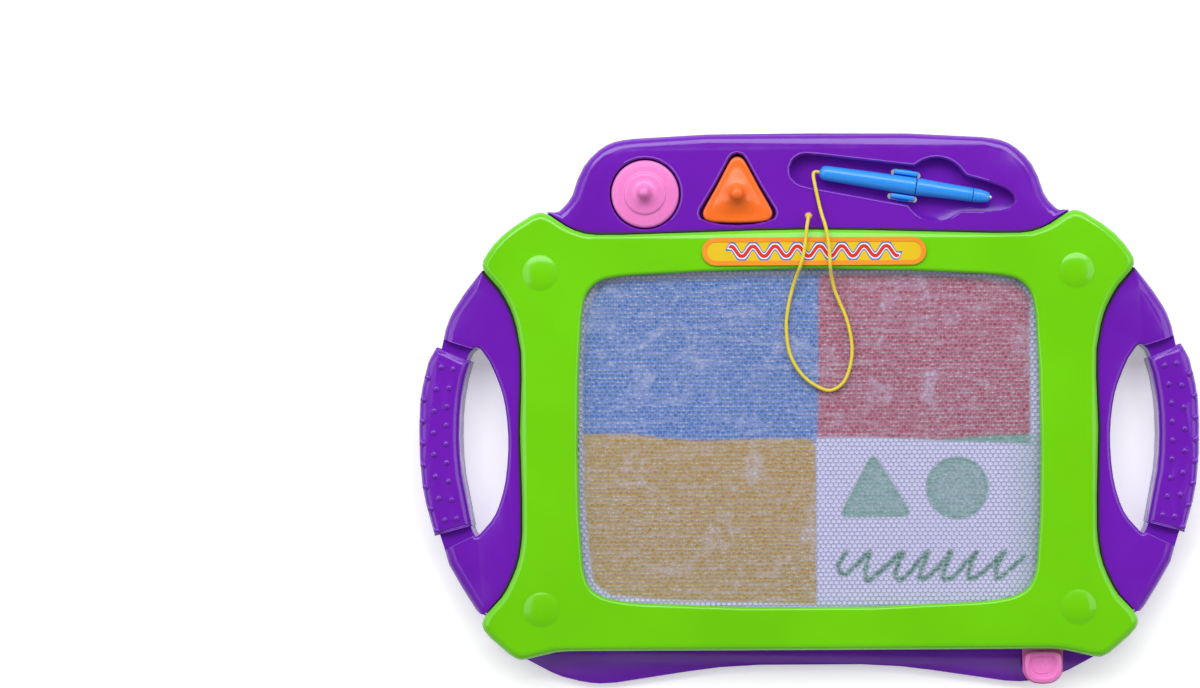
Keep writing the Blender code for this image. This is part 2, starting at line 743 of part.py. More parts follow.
def tray_hollow(frame, holes):
    """The space under the tray and in the grips, open at the back, round the recess cups."""
    hollow = prism("tray_hollow", [offset(back_loop(), -WALL)], -OVERRUN, TRAY_FLOOR_Z)
    kept = [prism("frame_bay", [grown(frame, SEAT_GAP + WALL)], -2 * OVERRUN, FRAME_HEIGHT)]
    for hole in holes:
        kept.append(prism("hole_wall", [grown(hole, WALL)], -2 * OVERRUN, FRAME_HEIGHT))
    for name, loop, floor in recesses():
        kept.append(prism(name + "_cup", [offset(loop, WALL)], floor - WALL, FRAME_HEIGHT))
    for loop in neck_loops():
        floor = TRAY_HEIGHT - NECK_DEPTH - WALL
        kept.append(prism("neck_floor", [grown(loop, WALL)], floor, FRAME_HEIGHT))
    kept.append(lip_slope(frame, WALL))
    for body in kept:
        cut(hollow, body)
    return hollow


def ribs():
    """The ribs that carry the screen's edges and the two rails that guide the eraser."""
    side_x = PANEL_HALF_WIDTH - RIB
    near_y = NEAR_RAIL_Y + RAIL + RIB
    floor = WALL / 2
    far = PANEL_FAR_Y - RIB
    run = side_x - RAIL
    return together(
        "ribs",
        [
            box("rib_right", (side_x, near_y, floor), (PANEL_HALF_WIDTH, far - RIB, RIB_TOP_Z)),
            box("rib_left", (-PANEL_HALF_WIDTH, near_y, floor), (-side_x, far - RIB, RIB_TOP_Z)),
            box("rib_far", (-side_x, far, floor), (side_x, PANEL_FAR_Y, RIB_TOP_Z)),
            box("rail_far", (-run, FAR_RAIL_Y, floor), (run, FAR_RAIL_Y + RAIL, RAIL_TOP_Z)),
            box("rail_near", (-run, NEAR_RAIL_Y - RAIL, floor), (run, NEAR_RAIL_Y, RAIL_TOP_Z)),
        ],
    )


def back_bosses():
    top = PAN_RIM_HEIGHT - GAP
    return together(
        "back_bosses",
        [
            prism("boss", [circle(place, BACK_BOSS_RADIUS, SMALL_SIDES)], WALL / 2, top)
            for place in screw_places()
        ],
    )


def screw_bores():
    """Stepped bores from the back, wide for a screw's head and narrow for its shank."""
    head = SCREW_HEAD_RADIUS + BORE_CLEARANCE
    shank = SCREW_RADIUS + 2 * BORE_CLEARANCE
    top = PAN_RIM_HEIGHT + OVERRUN
    profile = (
        (0.0, top), (shank, top), (shank, COUNTERBORE_DEPTH),
        (head, COUNTERBORE_DEPTH), (head, -OVERRUN), (0.0, -OVERRUN),
    )
    bores = []
    for place in screw_places():
        bore = turned("bore", profile, SMALL_SIDES)
        bore.location = (*place, 0.0)
        bores.append(bore)
    return together("screw_bores", bores)


def clip_slots():
    slots = []
    for side in (-1, 1):
        loop = pill(Vector((CLIP_PLACE, side * CLIP_MIDDLE)), SLOT_HALF_LENGTH, SLOT_HALF_WIDTH)
        outline = turned_loop(loop, PEN_TAIL, PEN_TURN)
        slots.append(prism("slot", [outline], PEN_FLOOR_Z - WALL - OVERRUN, PEN_FLOOR_Z + WALL))
    return together("clip_slots", slots)


def base_shell():
    """The moulded back: pan, tray with its recesses, grips and lip in one piece."""
    frame = frame_loop()
    seat = grown(frame, SEAT_GAP)
    holes = hand_hole_loops()
    body = prism("base_shell", [back_loop(), *holes], 0.0, TRAY_HEIGHT)

    hole_points = [point for hole in holes for point in hole]

    def rounding_share(vertex):
        covered = inside(seat, vertex.co.xy) or vertex.co.y < FRAME_NEAR_Y
        at_hole = min((point - vertex.co.xy).length for point in hole_points) < GAP
        return on_top(vertex) * (not covered) * (HOLE_ROUNDING / TRAY_ROUNDING if at_hole else 1.0)

    round_edges(body, TRAY_ROUNDING, ROUNDING_STEPS, rounding_share)
    for side in (1, -1):
        grip = prism("grip", [grip_loop()], GRIP_FOOT, TRAY_HEIGHT + GRIP_STAND)
        if side < 0:
            grip.data.transform(MIRRORED)
            grip.data.flip_normals()
        round_edges(grip, GRIP_ROUNDING, ROUNDING_STEPS, on_top)
        join(body, grip)
        join(body, grip_bumps(side))
    cut(body, grip_necks())
    cut(body, prism("frame_seat", [seat], PAN_RIM_HEIGHT, FRAME_HEIGHT + OVERRUN))
    cut(body, lip_slope(frame))
    cut(body, tray_hollow(frame, holes))
    cut(body, prism("pan_space", [offset(frame, -WALL)], WALL, PAN_RIM_HEIGHT + OVERRUN))
    join(body, ribs())
    join(body, back_bosses())
    cut(body, screw_bores())
    for name, loop, floor in recesses():
        cut(body, prism(name, [loop], floor, TRAY_HEIGHT + OVERRUN))
        cut(body, recess_mouth(name + "_mouth", loop))
    cut(body, clip_slots())
    hole = circle(Vector(CORD_ROUTE[0][:2]), CORD_HOLE_RADIUS, SMALL_SIDES)
    cut(body, prism("cord_hole", [hole], TRAY_FLOOR_Z - OVERRUN, TRAY_HEIGHT + OVERRUN))
    return finish(body, purple)


def frame_domes():
    """Low domes over the corner screws, and the boss under each screw place."""
    domes = []
    for place in screw_places()[:CORNER_COUNT]:
        turns = [math.pi * step / (2 * DOME_STEPS) for step in range(DOME_STEPS + 1)]
        profile = [(DOME_RADIUS * math.sin(t), DOME_HEIGHT * math.cos(t)) for t in turns]
        profile += [(DOME_RADIUS, -FRAME_WALL / 2), (0.0, -FRAME_WALL / 2)]
        dome = turned("dome", profile, 2 * SMALL_SIDES)
        dome.location = (*place, FRAME_HEIGHT)
        domes.append(dome)
    return together("domes", domes)


def frame_bosses():
    top = FRAME_HEIGHT - FRAME_WALL / 2
    foot = FRAME_FOOT + GAP
    return together(
        "frame_bosses",
        [
            prism("boss", [circle(place, FRAME_BOSS_RADIUS, SMALL_SIDES)], foot, top)
            for place in screw_places()
        ],
    )


def front_frame():
    """The front frame: a rounded shell round the window, with a skirt down to the screen."""
    outline = frame_loop()
    window = window_loop()
    inner = offset(outline, -FRAME_WALL)
    body = prism("front_frame", [outline, window], FRAME_FOOT, FRAME_HEIGHT)

    ears = [on_board([FRAME_SHARES[knot]])[0] for knot in EAR_TIP_KNOTS]

    def rounding_share(vertex):
        place = Vector((abs(vertex.co.x), vertex.co.y))
        if min((point - vertex.co.xy).length for point in window) < GAP:
            return on_top(vertex) * WINDOW_ROUNDING / EAR_ROUNDING
        reach = min((place - ear).length for ear in ears) / EAR_REACH
        blend = max(0.0, min(1.0, 2.0 - 2.0 * reach))
        side = FRAME_ROUNDING / EAR_ROUNDING
        return on_top(vertex) * (side + (1.0 - side) * blend)

    round_edges(body, EAR_ROUNDING, ROUNDING_STEPS, rounding_share)
    under = FRAME_HEIGHT - FRAME_WALL
    space = prism("frame_space", [inner], FRAME_FOOT - OVERRUN, under)
    skirt = prism("skirt", [grown(window, FRAME_WALL)], WINDOW_SKIRT_Z, FRAME_HEIGHT)
    cut(space, skirt)
    join(body, frame_domes())
    cut(body, space)
    join(body, frame_bosses())
    bores = [
        prism(
            "boss_bore",
            [circle(place, SCREW_RADIUS + BORE_CLEARANCE, SMALL_SIDES)],
            FRAME_FOOT - OVERRUN,
            COUNTERBORE_DEPTH + SCREW_LENGTH + WALL,
        )
        for place in screw_places()
    ]
    cut(body, together("boss_bores", bores))
    reach = ERASER_REST_X + KNOB_HALF_WIDTH + WALL
    slot_top = ARM_TOP_Z + SEAT_GAP
    low = (-reach, FRAME_NEAR_Y - OVERRUN, FRAME_FOOT - OVERRUN)
    cut(body, box("eraser_slot", low, (reach, FRAME_NEAR_Y + 2 * FRAME_WALL, slot_top)))
    return finish(body, green)


def sheet(name, low, thickness, look):
    """One sheet of the screen, a rectangle with rounded corners."""
    reach = PANEL_HALF_WIDTH - PANEL_CORNER
    far, near = PANEL_FAR_Y - PANEL_CORNER, PANEL_NEAR_Y + PANEL_CORNER
    steps = SMALL_SIDES // 4
    loop = []
    for corner, (x, y) in enumerate(((reach, far), (reach, near), (-reach, near), (-reach, far))):
        for step in range(steps + 1):
            turn = math.pi / 2 * (1 - corner - step / steps)
            around = Vector((math.cos(turn), math.sin(turn)))
            loop.append(Vector((x, y)) + around * PANEL_CORNER)
    return finish(prism(name, [loop], low, low + thickness), look)


def screen():
    low = PANEL_Z
    sheet("screen_back_sheet", low, BACK_SHEET, white)
    low += BACK_SHEET + GAP
    sheet("honeycomb_core", low, HONEYCOMB, white)
    low += HONEYCOMB + GAP
    sheet("screen_front_film", low, FRONT_FILM, film)


def label_plate():
    place = on_board([LABEL_PLACE_SHARES])[0]
    low = FRAME_HEIGHT + GAP
    loop = pill(place, LABEL_HALF_LENGTH, LABEL_HALF_WIDTH)
    return finish(prism("label_plate", [loop], low, low + LABEL_THICKNESS), yellow)


def screw(name, place, low, length, head_radius=SCREW_HEAD_RADIUS, look=None):
    """A pan-head screw that points up, with its head at the given height."""
    point = low + SCREW_HEAD + length
    profile = (
        (0.0, point), (SCREW_RADIUS / 2, point), (SCREW_RADIUS, point - SCREW_RADIUS),
        (SCREW_RADIUS, low + SCREW_HEAD), (head_radius, low + SCREW_HEAD),
        (head_radius, low + SCREW_HEAD / 2), (head_radius * HEAD_TAPER, low), (0.0, low),
    )
    made = turned(name, profile, SMALL_SIDES)
    made.location = (*place, 0.0)
    return finish(made, look or steel)


def frame_screws():
    for number, place in enumerate(screw_places(), start=1):
        screw(f"frame_screw_{number}", place, SCREW_HEAD_DEPTH, SCREW_LENGTH)


def eraser_bar(rest):
    """The bar that spans the screen from behind, notched over its two rails."""
    half = ERASER_HALF_WIDTH
    low = (ERASER_REST_X - half, ERASER_NEAR_Y, ERASER_Z)
    body = box("eraser_bar", low, (ERASER_REST_X + half, ERASER_FAR_Y, ERASER_TOP_Z))
    wide = (ERASER_REST_X - SHOE_HALF_WIDTH, ERASER_NEAR_Y - GAP, ERASER_Z)
    shoe_far = ERASER_NEAR_Y + SHOE_LENGTH
    join(body, box("shoe", wide, (ERASER_REST_X + SHOE_HALF_WIDTH, shoe_far, ERASER_TOP_Z)))
    groove = MAGNET_STRIP_HALF_WIDTH + GAP
    floor = ERASER_TOP_Z - MAGNET_STRIP_THICKNESS - GAP
    corner = (ERASER_REST_X - groove, WINDOW_NEAR_Y - GAP, floor)
    end = (ERASER_REST_X + groove, WINDOW_FAR_Y + GAP, ERASER_TOP_Z + OVERRUN)
    cut(body, box("magnet_groove", corner, end))
    for rail_y in (FAR_RAIL_Y, NEAR_RAIL_Y - RAIL):
        low = (ERASER_REST_X - SHOE_HALF_WIDTH - OVERRUN, rail_y - GAP, ERASER_Z - OVERRUN)
        high = (ERASER_REST_X + SHOE_HALF_WIDTH + OVERRUN, rail_y + RAIL + GAP, RAIL_TOP_Z + GAP)
        cut(body, box("rail_notch", low, high))
    place = (ERASER_REST_X, ERASER_NEAR_Y + SHOE_LENGTH / 2)
    hole = circle(Vector(place), SCREW_RADIUS + BORE_CLEARANCE, SMALL_SIDES)
    cut(body, prism("shoe_hole", [hole], ERASER_Z - OVERRUN, ERASER_TOP_Z + OVERRUN))
    finish(body, grey, rest)
    low = (ERASER_REST_X - MAGNET_STRIP_HALF_WIDTH, WINDOW_NEAR_Y, floor + GAP)
    high = (ERASER_REST_X + MAGNET_STRIP_HALF_WIDTH, WINDOW_FAR_Y, ERASER_TOP_Z)
    finish(box("eraser_magnet", low, high), black, rest)


def cap_loop(margin=0.0):
    """The outline of the knob's cap, round at its near end."""
    half = Vector((KNOB_HALF_WIDTH, (KNOB_FAR_Y - KNOB_NEAR_Y) / 2))
    reach = (half.x - KNOB_CAP_MARGIN - margin, half.y - KNOB_CAP_MARGIN - margin)
    knots = [Vector((x * reach[0], y * reach[1])) for x, y in KNOB_CAP_SHARES]
    middle = Vector((ERASER_REST_X, KNOB_NEAR_Y + half.y))
    return [point + middle for point in symmetric_loop(knots)]


def arm_loop():
    """The outline of the knob's foot and of the arm that runs on to the bar."""
    far_y = ERASER_NEAR_Y + SHOE_LENGTH - GAP
    foot = grown(cap_loop(), KNOB_CAP_MARGIN)
    widest = max(point.x for point in foot)
    near = [point for point in foot if point.y < KNOB_NEAR_Y + KNOB_HALF_WIDTH]
    return [Vector((2 * ERASER_REST_X - widest, far_y)), Vector((widest, far_y)), *near]


def eraser_knob(rest):
    """The dished cap over the lip, on a foot that runs on as an arm to the bar."""
    top = ARM_Z + KNOB_HEIGHT
    body = prism("eraser_knob", [arm_loop()], ARM_Z, ARM_TOP_Z)
    cap = prism("knob_cap", [cap_loop()], ARM_Z + GAP, top)
    round_edges(cap, KNOB_ROUNDING, 2, on_top)
    join(body, cap)
    dish = cap_loop(KNOB_DISH_MARGIN)
    wider = grown(dish, KNOB_DISH_DEPTH + GAP)
    cut(body, flared_prism("dish", dish, wider, top - KNOB_DISH_DEPTH, top + GAP))
    place = Vector((ERASER_REST_X, ERASER_NEAR_Y + SHOE_LENGTH / 2))
    hole = circle(place, SCREW_RADIUS + BORE_CLEARANCE, SMALL_SIDES)
    cut(body, prism("arm_hole", [hole], ARM_Z - OVERRUN, ARM_TOP_Z + OVERRUN))
    finish(body, pink, rest)
    length = ARM_THICKNESS + ERASER_THICKNESS
    made = screw("eraser_screw", place, ARM_Z - GAP - SCREW_HEAD, length)
    made.parent = rest
    made.matrix_parent_inverse = rest.matrix_world.inverted()


def pen_piece(name, profile, look, rest):
    """A turned piece of the pen, laid along its axis; the profile gives radius and place."""
    made = turned(name, profile, PEN_SIDES)
    made.rotation_euler = (0.0, math.pi / 2, PEN_TURN)
    made.location = (*PEN_TAIL, PEN_AXIS_Z)
    return finish(made, look, rest)


def pen(rest):
    """Rear and front barrel, nose and magnet tip, end to end."""
    rear_end = PEN_SEAM - GAP / 2
    front = PEN_SEAM + GAP / 2
    front_end = PEN_NECK - GAP / 2
    nose = PEN_NECK + GAP / 2
    nose_end = PEN_LENGTH - PEN_MAGNET_STAND
    bow = PEN_TAIL_RADIUS * PEN_TAIL_BOW
    quarter = [math.pi / 2 * step / TAIL_STEPS for step in range(TAIL_STEPS + 1)]
    tail = [
        (PEN_TAIL_RADIUS - bow + bow * math.sin(t), bow - bow * math.cos(t)) for t in quarter
    ]
    rear = [(0.0, rear_end), (PEN_RADIUS - GAP, rear_end), (PEN_RADIUS, rear_end - GAP * 2)]
    waist = (PEN_RADIUS * PEN_WAIST_SHARES[0], PEN_SEAM * PEN_WAIST_SHARES[1])
    rear += [waist, *reversed(tail), (0.0, 0.0)]
    pen_piece("pen_rear_barrel", rear, blue, rest)
    mid = (front + front_end) / 2
    profile = [
        (0.0, front_end), (PEN_NECK_RADIUS, front_end),
        (PEN_RADIUS * PEN_TAPER, mid), (PEN_RADIUS, front + GAP * 2),
        (PEN_RADIUS - GAP, front), (0.0, front),
    ]
    pen_piece("pen_front_barrel", profile, blue, rest)
    bore = PEN_MAGNET_RADIUS + GAP
    bore_end = PEN_LENGTH - PEN_MAGNET_LENGTH - GAP
    profile = [
        (0.0, bore_end), (bore, bore_end), (bore, nose_end),
        (PEN_TIP_RADIUS, nose_end), (PEN_TIP_RADIUS + GAP, nose_end - GAP * 2),
        (PEN_NECK_RADIUS * PEN_TAPER, nose + (nose_end - nose) * PEN_NOSE_SHOULDER),
        (PEN_NECK_RADIUS, nose), (0.0, nose),
    ]
    pen_piece("pen_nose", profile, blue, rest)
    blunt = PEN_MAGNET_RADIUS * PEN_BLUNT_SHARE
    profile = [
        (0.0, PEN_LENGTH), (blunt, PEN_LENGTH),
        (PEN_MAGNET_RADIUS, PEN_LENGTH - blunt / 2),
        (PEN_MAGNET_RADIUS, PEN_LENGTH - PEN_MAGNET_LENGTH),
        (0.0, PEN_LENGTH - PEN_MAGNET_LENGTH),
    ]
    pen_piece("pen_magnet_tip", profile, steel, rest)


def stamp_knob(place, foot):
    """A round grip on a flared neck."""
    radius = STAMP_KNOB_RADIUS
    low = STAMP_BASE_Z + STAMP_HEIGHT - WALL / 2
    top = STAMP_BASE_Z + STAMP_HEIGHT + STAMP_KNOB_RISE
    rise = top - low
    profile = [(radius * across, low + rise * up) for across, up in STAMP_KNOB_SHARES]
    profile += [(foot * across, low + rise * up) for across, up in STAMP_FOOT_SHARES]
    made = turned("stamp_knob", [*profile, (0.0, low)], PEN_SIDES)
    made.location = (*place, 0.0)
    return made


def stamp(name, place, loop, foot, step, look, rest):
    """A magnetic stamp: a thick plate with a stepped top, a knob and a magnet let in below."""
    top = STAMP_BASE_Z + STAMP_HEIGHT
    body = prism(name, [loop], STAMP_BASE_Z, top)
    round_edges(body, STAMP_EDGE, 2, on_top)
    shape = offset(loop, -STAMP_MAGNET_MARGIN)
    ceiling = STAMP_BASE_Z + STAMP_MAGNET + GAP
    cut(body, prism("magnet_pocket", [shape], STAMP_BASE_Z - OVERRUN, ceiling))
    join(body, stamp_knob(place, foot))
    if step:
        join(body, step)
    finish(body, look, rest)
    low = STAMP_BASE_Z
    finish(prism(name + "_magnet", [offset(shape, -GAP)], low, low + STAMP_MAGNET), black, rest)


def round_stamp(rest):
    loop = circle(ROUND_STAMP_PLACE, ROUND_STAMP_RADIUS, ROUND_SIDES)
    foot = ROUND_STAMP_RADIUS * ROUND_FOOT_SHARE
    stamp("round_stamp", ROUND_STAMP_PLACE, loop, foot, None, pink, rest)


def triangle_stamp(rest):
    place = TRIANGLE_STAMP_PLACE
    loop = triangle_loop()
    top = STAMP_BASE_Z + STAMP_HEIGHT
    lower = [place + (point - place) * PYRAMID_SHARE for point in loop]
    upper = [place + (point - place) * PYRAMID_TOP_SHARE for point in loop]
    rise = STAMP_KNOB_RISE * PYRAMID_RISE_SHARE
    step = flared_prism("pyramid", lower, upper, top - WALL / 2, top + rise)
    foot = STAMP_KNOB_RADIUS * TRIANGLE_FOOT_SHARE
    stamp("triangle_stamp", place, loop, foot, step, orange, rest)


def pen_clip():
    """A springy U under the recess floor whose two ears stand up beside the pen."""
    base_top = PEN_FLOOR_Z - WALL - GAP
    reach = CLIP_MIDDLE + CLIP_EAR / 2
    base_low = base_top - CLIP_BASE
    long = CLIP_HALF_LENGTH
    body = box("pen_clip", (-long, -reach, base_low), (long, reach, base_top))
    ear_top = PEN_AXIS_Z + CLIP_TOP_OVER_AXIS
    ears = []
    for side in (-1, 1):
        middle = side * CLIP_MIDDLE
        thick = CLIP_EAR / 2
        low = (-long, middle - thick, base_low + GAP)
        ears.append(box("ear", low, (long, middle + thick, ear_top)))
    ears = together("clip_ears", ears)
    round_edges(ears, CLIP_EAR_ROUNDING, 2, lambda vertex: vertex.co.z > base_top)
    join(body, ears)
    barb_low = PEN_FLOOR_Z + GAP
    for side in (-1, 1):
        face = side * reach
        outer = side * (reach + CLIP_BARB)
        low = (-long / 2, min(face - side * GAP, outer), barb_low)
        high = (long / 2, max(face - side * GAP, outer), barb_low + CLIP_BARB_HEIGHT)
        join(body, box("barb", low, high))
    body.location = (*pen_point(CLIP_PLACE), 0.0)
    body.rotation_euler.z = PEN_TURN
    for tool in [step.object for step in body.modifiers]:
        tool.location = body.location
        tool.rotation_euler.z = PEN_TURN
    return finish(body, blue)


def even_points(points, step):
    """Points at equal distances along a fine line, with both of its ends."""
    lengths = [0.0]
    for start, end in zip(points, points[1:]):
        lengths.append(lengths[-1] + (end - start).length)
    count = round(lengths[-1] / step)
    even, at = [], 0
    for number in range(count + 1):
        wanted = lengths[-1] * number / count
        while at < len(points) - 2 and lengths[at + 1] < wanted:
            at += 1
        share = (wanted - lengths[at]) / (lengths[at + 1] - lengths[at])
        even.append(points[at] + (points[at + 1] - points[at]) * share)
    return even, lengths[-1]


def pen_cord():
    """The cord from its knot behind the tray to the pen, and the knot."""
    route = [Vector(point) for point in CORD_ROUTE]
    points, length = even_points(spline_points(route), CORD_STEP)
    print(f"cord {length:.4f} m in {len(points)} points")
    data = bpy.data.curves.new("pen_cord", "CURVE")
    data.dimensions = "3D"
    data.bevel_depth = CORD_RADIUS
    data.bevel_resolution = 2
    data.use_fill_caps = True
    line = data.splines.new("POLY")
    line.points.add(len(points) - 1)
    for slot, point in zip(line.points, points):
        slot.co = (*point, 1.0)
    cord = bpy.data.objects.new("pen_cord", data)
    parts.objects.link(cord)
    finish(cord, yellow)
    mesh = bmesh.new()
    bmesh.ops.create_uvsphere(mesh, u_segments=SMALL_SIDES, v_segments=SMALL_SIDES, radius=KNOT_RADIUS)
    knot = from_bmesh("cord_knot", mesh)
    knot.location = (*CORD_ROUTE[0][:2], TRAY_FLOOR_Z - GAP - KNOT_RADIUS)
    knot.location.z -= GAP
    finish(knot, yellow)


def eraser():
    rest = pivot("eraser_slide", (ERASER_REST_X, KNOB_FAR_Y, ARM_Z))
    eraser_bar(rest)
    eraser_knob(rest)


clear_scene()
parts = new_collection("magnetic_drawing_board", hidden=False)
cutters = new_collection("cutters", hidden=True)
purple = material("purple_plastic", (0.19, 0.012, 0.5), 0.32)
green = material("green_plastic", (0.17, 0.72, 0.006), 0.3)
pink = material("pink_plastic", (0.9, 0.22, 0.62), 0.35)
orange = material("orange_plastic", (1.0, 0.16, 0.02), 0.35)
blue = material("blue_plastic", (0.04, 0.35, 0.95), 0.3)
yellow = material("yellow_plastic", (0.87, 0.63, 0.04), 0.5)
white = material("white_plastic", (0.75, 0.75, 0.8), 0.5)
film = material("screen_film", (0.62, 0.62, 0.72), 0.25)
grey = material("grey_plastic", (0.3, 0.3, 0.32), 0.5)
black = material("magnet_rubber", (0.02, 0.02, 0.022), 0.7)
steel = material("steel", (0.6, 0.6, 0.62), 0.3, metallic=1.0)
base_shell()
front_frame()
screen()
label_plate()
frame_screws()
eraser()
pen(pivot("pen_lift", (*PEN_TAIL, PEN_AXIS_Z)))
round_stamp(pivot("round_stamp_lift", (*ROUND_STAMP_PLACE, STAMP_BASE_Z)))
triangle_stamp(pivot("triangle_stamp_lift", (*TRIANGLE_STAMP_PLACE, STAMP_BASE_Z)))
pen_clip()
pen_cord()
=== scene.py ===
import math

import bmesh
import bpy
import numpy as np
from mathutils import Matrix, Vector


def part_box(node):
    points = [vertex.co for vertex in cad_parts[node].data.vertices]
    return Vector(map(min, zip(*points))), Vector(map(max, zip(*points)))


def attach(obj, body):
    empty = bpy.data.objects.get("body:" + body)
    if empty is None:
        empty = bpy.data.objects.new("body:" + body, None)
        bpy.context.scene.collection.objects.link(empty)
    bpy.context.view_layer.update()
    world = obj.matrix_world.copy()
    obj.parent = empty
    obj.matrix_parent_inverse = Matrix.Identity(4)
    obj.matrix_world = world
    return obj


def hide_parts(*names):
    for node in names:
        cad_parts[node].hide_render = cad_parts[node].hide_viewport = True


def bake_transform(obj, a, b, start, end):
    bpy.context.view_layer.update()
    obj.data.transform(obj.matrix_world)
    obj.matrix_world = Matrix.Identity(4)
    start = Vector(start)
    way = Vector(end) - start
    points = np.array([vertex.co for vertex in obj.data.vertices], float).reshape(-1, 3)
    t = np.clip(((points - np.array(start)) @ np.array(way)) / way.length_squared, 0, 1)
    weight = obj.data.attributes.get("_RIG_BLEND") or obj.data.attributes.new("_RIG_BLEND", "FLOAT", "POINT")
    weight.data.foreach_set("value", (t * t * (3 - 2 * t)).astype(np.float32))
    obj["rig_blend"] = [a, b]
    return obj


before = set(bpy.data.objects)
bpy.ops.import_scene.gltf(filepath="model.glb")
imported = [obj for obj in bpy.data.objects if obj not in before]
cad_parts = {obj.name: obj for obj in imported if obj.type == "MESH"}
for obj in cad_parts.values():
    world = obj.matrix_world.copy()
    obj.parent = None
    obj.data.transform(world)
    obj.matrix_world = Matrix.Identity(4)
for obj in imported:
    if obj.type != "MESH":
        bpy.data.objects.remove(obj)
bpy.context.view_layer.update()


# View and light
# The board lies on its back on a plain white table and is seen from straight above, under soft
# light from wide studio boxes.
CAMERA_PLACE = (0.0, -0.0008, 1.25)
CAMERA_TURN = -0.00524
SKY_LEVELS = ((0.0, 0.60), (0.72, 0.48), (0.95, 0.06))
SKY_TINT = Vector((0.95, 0.97, 1.0))
SOFT_BOXES = (
    ("box_far", (-0.1, 1.2, 1.45), (2.5, 0.9), 31.0),
    ("box_left", (-1.5, 0.1, 1.3), (1.2, 1.6), 9.0),
    ("box_right", (1.5, 0.2, 1.3), (1.2, 1.6), 9.0),
    ("box_near", (0.1, -1.6, 1.5), (1.6, 0.4), 1.5),
)
TABLE_WIDTH = 9.0
TABLE_DROP = 0.0006
TABLE_FLAT_RADIUS = 3.4
TABLE_CURVE = 0.5
TABLE_WHITE = (0.86, 0.86, 0.86, 1.0)
TABLE_LIFT = 0.36


def set_inputs(tree, node, inputs):
    """Sets a node's inputs by name: a socket is linked, and a number or a colour is a constant."""
    for name, value in inputs.items():
        if isinstance(value, bpy.types.NodeSocket):
            tree.links.new(value, node.inputs[name])
        else:
            node.inputs[name].default_value = value


def add_node(tree, kind, inputs=None, **settings):
    node = tree.nodes.new("ShaderNode" + kind)
    for name, value in settings.items():
        setattr(node, name, value)
    set_inputs(tree, node, inputs or {})
    return node


def calculate(tree, operation, *values, clamp=False):
    """The result of a Math node, whose values are sockets or numbers."""
    values = dict(enumerate(values))
    return add_node(tree, "Math", values, operation=operation, use_clamp=clamp).outputs[0]


def ranged(tree, value, low, high, to_low=0.0, to_high=1.0):
    """A level, moved from one range to another and kept inside it."""
    inputs = {
        "Value": value, "From Min": low, "From Max": high, "To Min": to_low, "To Max": to_high,
    }
    return add_node(tree, "MapRange", inputs).outputs[0]


def colour_ramp(tree, level, stops):
    """The colour of a ramp at a level; each stop is its place and its colour."""
    ramp = add_node(tree, "ValToRGB", {0: level})
    elements = ramp.color_ramp.elements
    for place, _ in stops[1:-1]:
        elements.new(place)
    for element, (place, colour) in zip(elements, stops):
        element.position = place
        element.color = (*colour, 1.0)
    return ramp.outputs[0]


def new_look(name):
    """A new material, with its tree and its shader."""
    made = bpy.data.materials.new(name)
    made.use_nodes = True
    return made, made.node_tree, made.node_tree.nodes["Principled BSDF"]


bpy.ops.object.select_all(action="DESELECT")
bpy.ops.object.camera_add(location=CAMERA_PLACE, rotation=(0.0, 0.0, CAMERA_TURN))
camera = bpy.context.object
camera.name = "camera"
camera.data.lens = 69.22
camera.data.sensor_width = 36.0
camera.data.shift_x = -0.1742
camera.data.shift_y = 0.0558
camera.data.clip_start = 0.01
bpy.context.scene.camera = camera
bpy.context.scene.view_settings.view_transform = "Standard"

# The sky is palest round the horizon, and darker on the near side.
world = bpy.data.worlds.new("studio")
world.use_nodes = True
bpy.context.scene.world = world
tree = world.node_tree
ahead = add_node(tree, "SeparateXYZ", {0: add_node(tree, "TexCoord").outputs["Generated"]})
sky_stops = [(place, SKY_TINT * level) for place, level in SKY_LEVELS]
set_inputs(tree, tree.nodes["Background"], {
    "Color": colour_ramp(tree, ahead.outputs["Z"], sky_stops),
    "Strength": ranged(tree, ahead.outputs["Y"], -0.7, 0.3, to_low=0.25),
})
for name, place, size, power in SOFT_BOXES:
    bpy.ops.object.light_add(type="AREA", location=place)
    lamp = bpy.context.object
    lamp.name = name
    lamp.data.shape = "RECTANGLE"
    lamp.data.size, lamp.data.size_y = size
    lamp.data.energy = power
    lamp.rotation_euler = (-Vector(place)).to_track_quat("-Z", "Y").to_euler()

# The table curves up far behind the board. What the camera sees of it is lifted towards white.
bpy.ops.mesh.primitive_grid_add(
    x_subdivisions=24, y_subdivisions=24, size=TABLE_WIDTH, location=(0.0, 0.0, -TABLE_DROP)
)
table = bpy.context.object
table.name = "table"
for vertex in table.data.vertices:
    rise = max(0.0, vertex.co.length - TABLE_FLAT_RADIUS)
    vertex.co.z += rise * rise * TABLE_CURVE
bpy.ops.object.shade_smooth()
table_look, tree, shader = new_look("white_table")
set_inputs(tree, shader, {
    "Base Color": TABLE_WHITE, "Roughness": 0.75, "Specular IOR Level": 0.2,
})
ray = add_node(tree, "LightPath").outputs
seen = calculate(tree, "MAXIMUM", ray["Is Camera Ray"], ray["Is Glossy Ray"])
seen = calculate(tree, "MAXIMUM", seen, ray["Is Transmission Ray"])
dark = add_node(tree, "Emission", {"Strength": 0.0}).outputs[0]
lift = add_node(tree, "Emission", {"Strength": TABLE_LIFT}).outputs[0]
lifted = add_node(tree, "MixShader", {0: seen, 1: dark, 2: lift}).outputs[0]
both = add_node(tree, "AddShader", {0: shader.outputs[0], 1: lifted}).outputs[0]
set_inputs(tree, tree.nodes["Material Output"], {"Surface": both})
table.data.materials.append(table_look)


